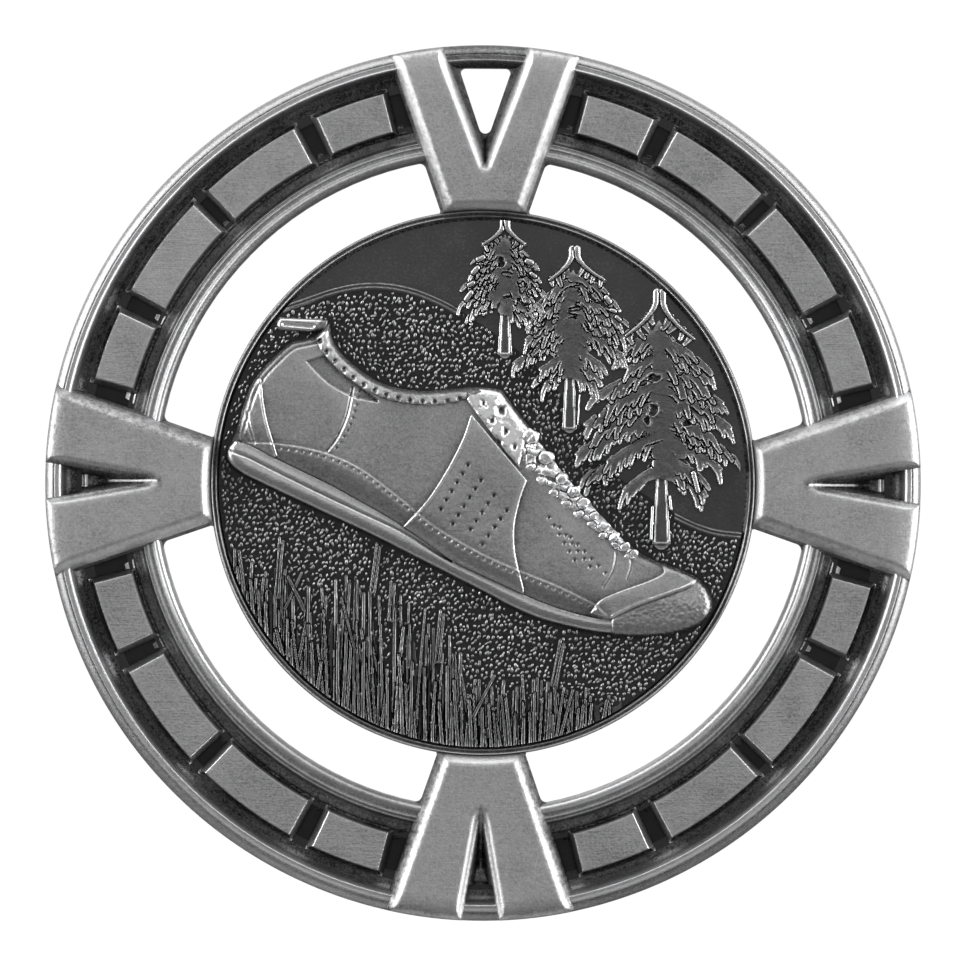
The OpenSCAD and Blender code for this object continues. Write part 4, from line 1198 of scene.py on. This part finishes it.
def shoe_pull_tab():
    """The tab behind the collar."""
    outline = [(-14.9, 11), (-12.4, 10.8), (-11.25, 10.9), (-11.25, 11.8), (-14.8, 11.9), (-15, 11.6),
               (-15.05, 11.3)]
    tab = inside_distance(SHOE_X, SHOE_Z, outline)
    slot = 0.2 * crease([(-14.5, 11.42), (-12.4, 11.25)], 0.12)
    return "shoe_pull_tab", tab, GROUND + 0.45 + 0.4 * rounded(tab, 0.3) - slot, 0.0


def shoe_laces():
    """Two columns of knobs that get smaller towards the toe, with crossed strands between them."""
    lace = Canvas(1.0, 12.2, -6.0, 4.9, 0.05, GROUND)
    rng = np.random.default_rng(21)
    level = GROUND + 1.1
    lace.stroke([(2.8, 3.0), (6.0, -0.4), (10.8, -5.1)], (0.95, 0.25), (level - 0.08, level - 0.14), rim=0)
    for k, (a, b) in enumerate(zip(LEFT_KNOBS, RIGHT_KNOBS)):
        small = 1 - 0.055 * k
        after = min(k + 1, len(RIGHT_KNOBS) - 1)
        for start, end in ((LEFT_KNOBS[after], b), (a, RIGHT_KNOBS[after])):
            wide = 0.33 * small * rng.uniform(0.75, 1.3)
            lift = rng.uniform(-0.05, 0.05)
            lace.post(bend(start, end, rng.uniform(-0.15, 0.15)), (wide, wide), level + lift,
                      dome=0.22 * small)
        for (x, z), size in ((a, 0.4), (b, 0.52)):
            r = size * small * rng.uniform(0.8, 1.1)
            lace.post([(x - 0.1, z + rng.uniform(-0.1, 0.1)), (x + 0.1, z)], (r, 0.85 * r), level - 0.04,
                      dome=min(0.32, 0.6 * r), gap=0.03)
    lace.top += 0.1 * noise(lace.X, lace.Z, 0.42, 22) + 0.04 * noise(lace.X, lace.Z, 0.18, 23)
    lace.inside += 0.06 * noise(lace.X, lace.Z, 0.3, 24)
    lace.top = np.minimum(lace.top, ARM_TOP)
    relief("shoe_laces_form", lace.X, lace.Z, lace.inside, lace.top, GROUND + 0.3, lace.wear(0.55, 1.9, 0.35),
           ["shoe_laces"], LACE_SILVER, 70)


def shoe():
    X, Z = SHOE_X, SHOE_Z
    upper = inside_distance(X, Z, UPPER_OUTLINE)
    sole = inside_distance(X, Z, SOLE_OUTLINE)
    body = shoe_body(upper)
    # The rough rubber below the toe cap's ridge line
    bumper = ease(Z - np.interp(X, BUMPER_LINE[:, 0], BUMPER_LINE[:, 1]), 0.05, -0.25)
    forms = shoe_panels(body, upper, bumper) + [shoe_sole(sole), shoe_pull_tab()]
    whole = np.where(upper > 0, body, GROUND)
    for _, s, top, _ in forms:
        whole = np.where(s > 0, top, whole)
    # Handling brightens what stands above its surroundings, taken within the shoe's own outline
    on_shoe = (np.maximum(upper, sole) > 0).astype(float)

    def above_mean(radius):
        return whole - blurred(whole * on_shoe, radius) / np.maximum(blurred(on_shoe, radius), 0.02)
    wear = 0.5 + 2.6 * above_mean(4) + 1.6 * above_mean(14) + 0.07 * noise(X, Z, 3, 31)
    wear += (0.07 + 0.12 * noise(X, Z, 0.13, 32)) * bumper * (X > 9)
    # Painted shade: darker towards the shoe's outline, most of all along the sole's outer edge
    from_edge = inside_distance(X, Z, SHOE_OUTLINE)
    wear -= 0.15 * ease(from_edge, 0.4, 0.0) + 0.4 * ease(from_edge, 0.22, 0.08) * (sole > 0)
    # The upper is made in two halves, which meet under the saddle
    for half, side in (("heel", -1), ("toe", 1)):
        relief("shoe_upper_" + half, X, Z, np.minimum(upper, side * (X - UPPER_HALVES_X)), body, GROUND, wear,
               ["shoe_upper"], SHOE_SILVER, 70)
    for node, s, top, holes in forms:
        floor = GROUND if node in ("shoe_sole", "shoe_pull_tab") else np.maximum(body - 0.03, GROUND)
        bright = node in ("shoe_collar", "shoe_eyestay")
        polish = SHOE_POLISH.get(node, 0) - 0.7 * np.minimum(holes, 1)
        relief(node + "_form", X, Z, s, top, floor, wear + polish, [node],
               LACE_SILVER if bright else SHOE_SILVER, 70)
    shoe_laces()


shoe()
canvases = [tree(node, number, **spec) for number, (node, spec) in enumerate(TREES.items())]
canvases += grass()
ridge("ridge_left", LEFT_HILL)
ridge("ridge_right", RIGHT_HILL)
ground_drops(canvases)

for node, material in (("ring_plate", FLOOR_PATINA), ("disc_plate", SKY_PATINA), ("hillside", GROUND_PATINA),
                       ("meadow", GROUND_PATINA)):
    NODES[node].data.materials.clear()
    NODES[node].data.materials.append(material)

# Camera, light and floor ---

CAMERA_DISTANCE = 0.6
SENSOR_WIDTH = 36
FRAME_WIDTH = 0.06994
MIDDLE_LEVEL = 0.0025
PHOTO_TILT = math.radians(-0.37)


def area_light(name, at, width, height, radiance, spread=180):
    """A softbox facing the medal; a spread under 180 degrees is a grid that keeps it off the floor."""
    data = bpy.data.lights.new(name, "AREA")
    data.spread = math.radians(spread)
    data.shape = "RECTANGLE"
    data.size, data.size_y = width, height
    data.energy = radiance * math.pi * width * height
    light = bpy.data.objects.new(name, data)
    light.location = at
    light.rotation_euler = (-Vector(at)).to_track_quat("-Z", "Y").to_euler()
    bpy.context.scene.collection.objects.link(light)


def studio():
    """A background that is white to the camera but dim in reflections, and five softboxes."""
    scene = bpy.context.scene
    scene.view_settings.view_transform = "Standard"
    scene.world = bpy.data.worlds.new("studio")
    scene.world.use_nodes = True
    tree = scene.world.node_tree
    background = tree.nodes["Background"]
    background.inputs["Color"].default_value = (1, 1, 1, 1)
    rays = tree.nodes.new("ShaderNodeLightPath")
    strength = math_node(tree, "MULTIPLY_ADD", rays.outputs["Is Camera Ray"], 0.92, 0.1)
    tree.links.new(strength, background.inputs["Strength"])
    area_light("left_softbox", (-0.3, -0.07, 0.07), 0.3, 0.36, 1.5, 90)
    area_light("right_softbox", (0.3, -0.07, 0.04), 0.3, 0.36, 1.5, 90)
    area_light("top_softbox", (0.0, -0.08, 0.3), 0.56, 0.28, 0.95, 120)
    area_light("front_fill", (0.0, -1.0, 0.16), 0.75, 0.6, 0.5)
    area_light("back_fill", (0.0, 0.6, 0.25), 0.8, 0.6, 0.8)


def camera():
    data = bpy.data.cameras.new("camera")
    data.sensor_width = SENSOR_WIDTH
    data.lens = SENSOR_WIDTH * (CAMERA_DISTANCE - MIDDLE_LEVEL) / FRAME_WIDTH
    data.clip_start = 0.01
    data.clip_end = 20
    eye = bpy.data.objects.new("camera", data)
    eye.location = (0, -CAMERA_DISTANCE, 0)
    eye.rotation_euler = (math.pi / 2, PHOTO_TILT, 0)
    bpy.context.scene.collection.objects.link(eye)
    bpy.context.scene.camera = eye


def floor():
    mesh = bpy.data.meshes.new("floor")
    low = -0.34
    corners = [(-0.3, -0.2, low), (0.3, -0.2, low), (0.3, 0.3, low), (-0.3, 0.3, low)]
    mesh.from_pydata(corners, [], [(0, 1, 2, 3)])
    material = bpy.data.materials.new("pale_floor")
    material.use_nodes = True
    material.node_tree.nodes["Principled BSDF"].inputs["Base Color"].default_value = (0.85, 0.85, 0.84, 1)
    material.node_tree.nodes["Principled BSDF"].inputs["Roughness"].default_value = 0.7
    mesh.materials.append(material)
    piece = bpy.data.objects.new("floor", mesh)
    bpy.context.scene.collection.objects.link(piece)


studio()
camera()
floor()
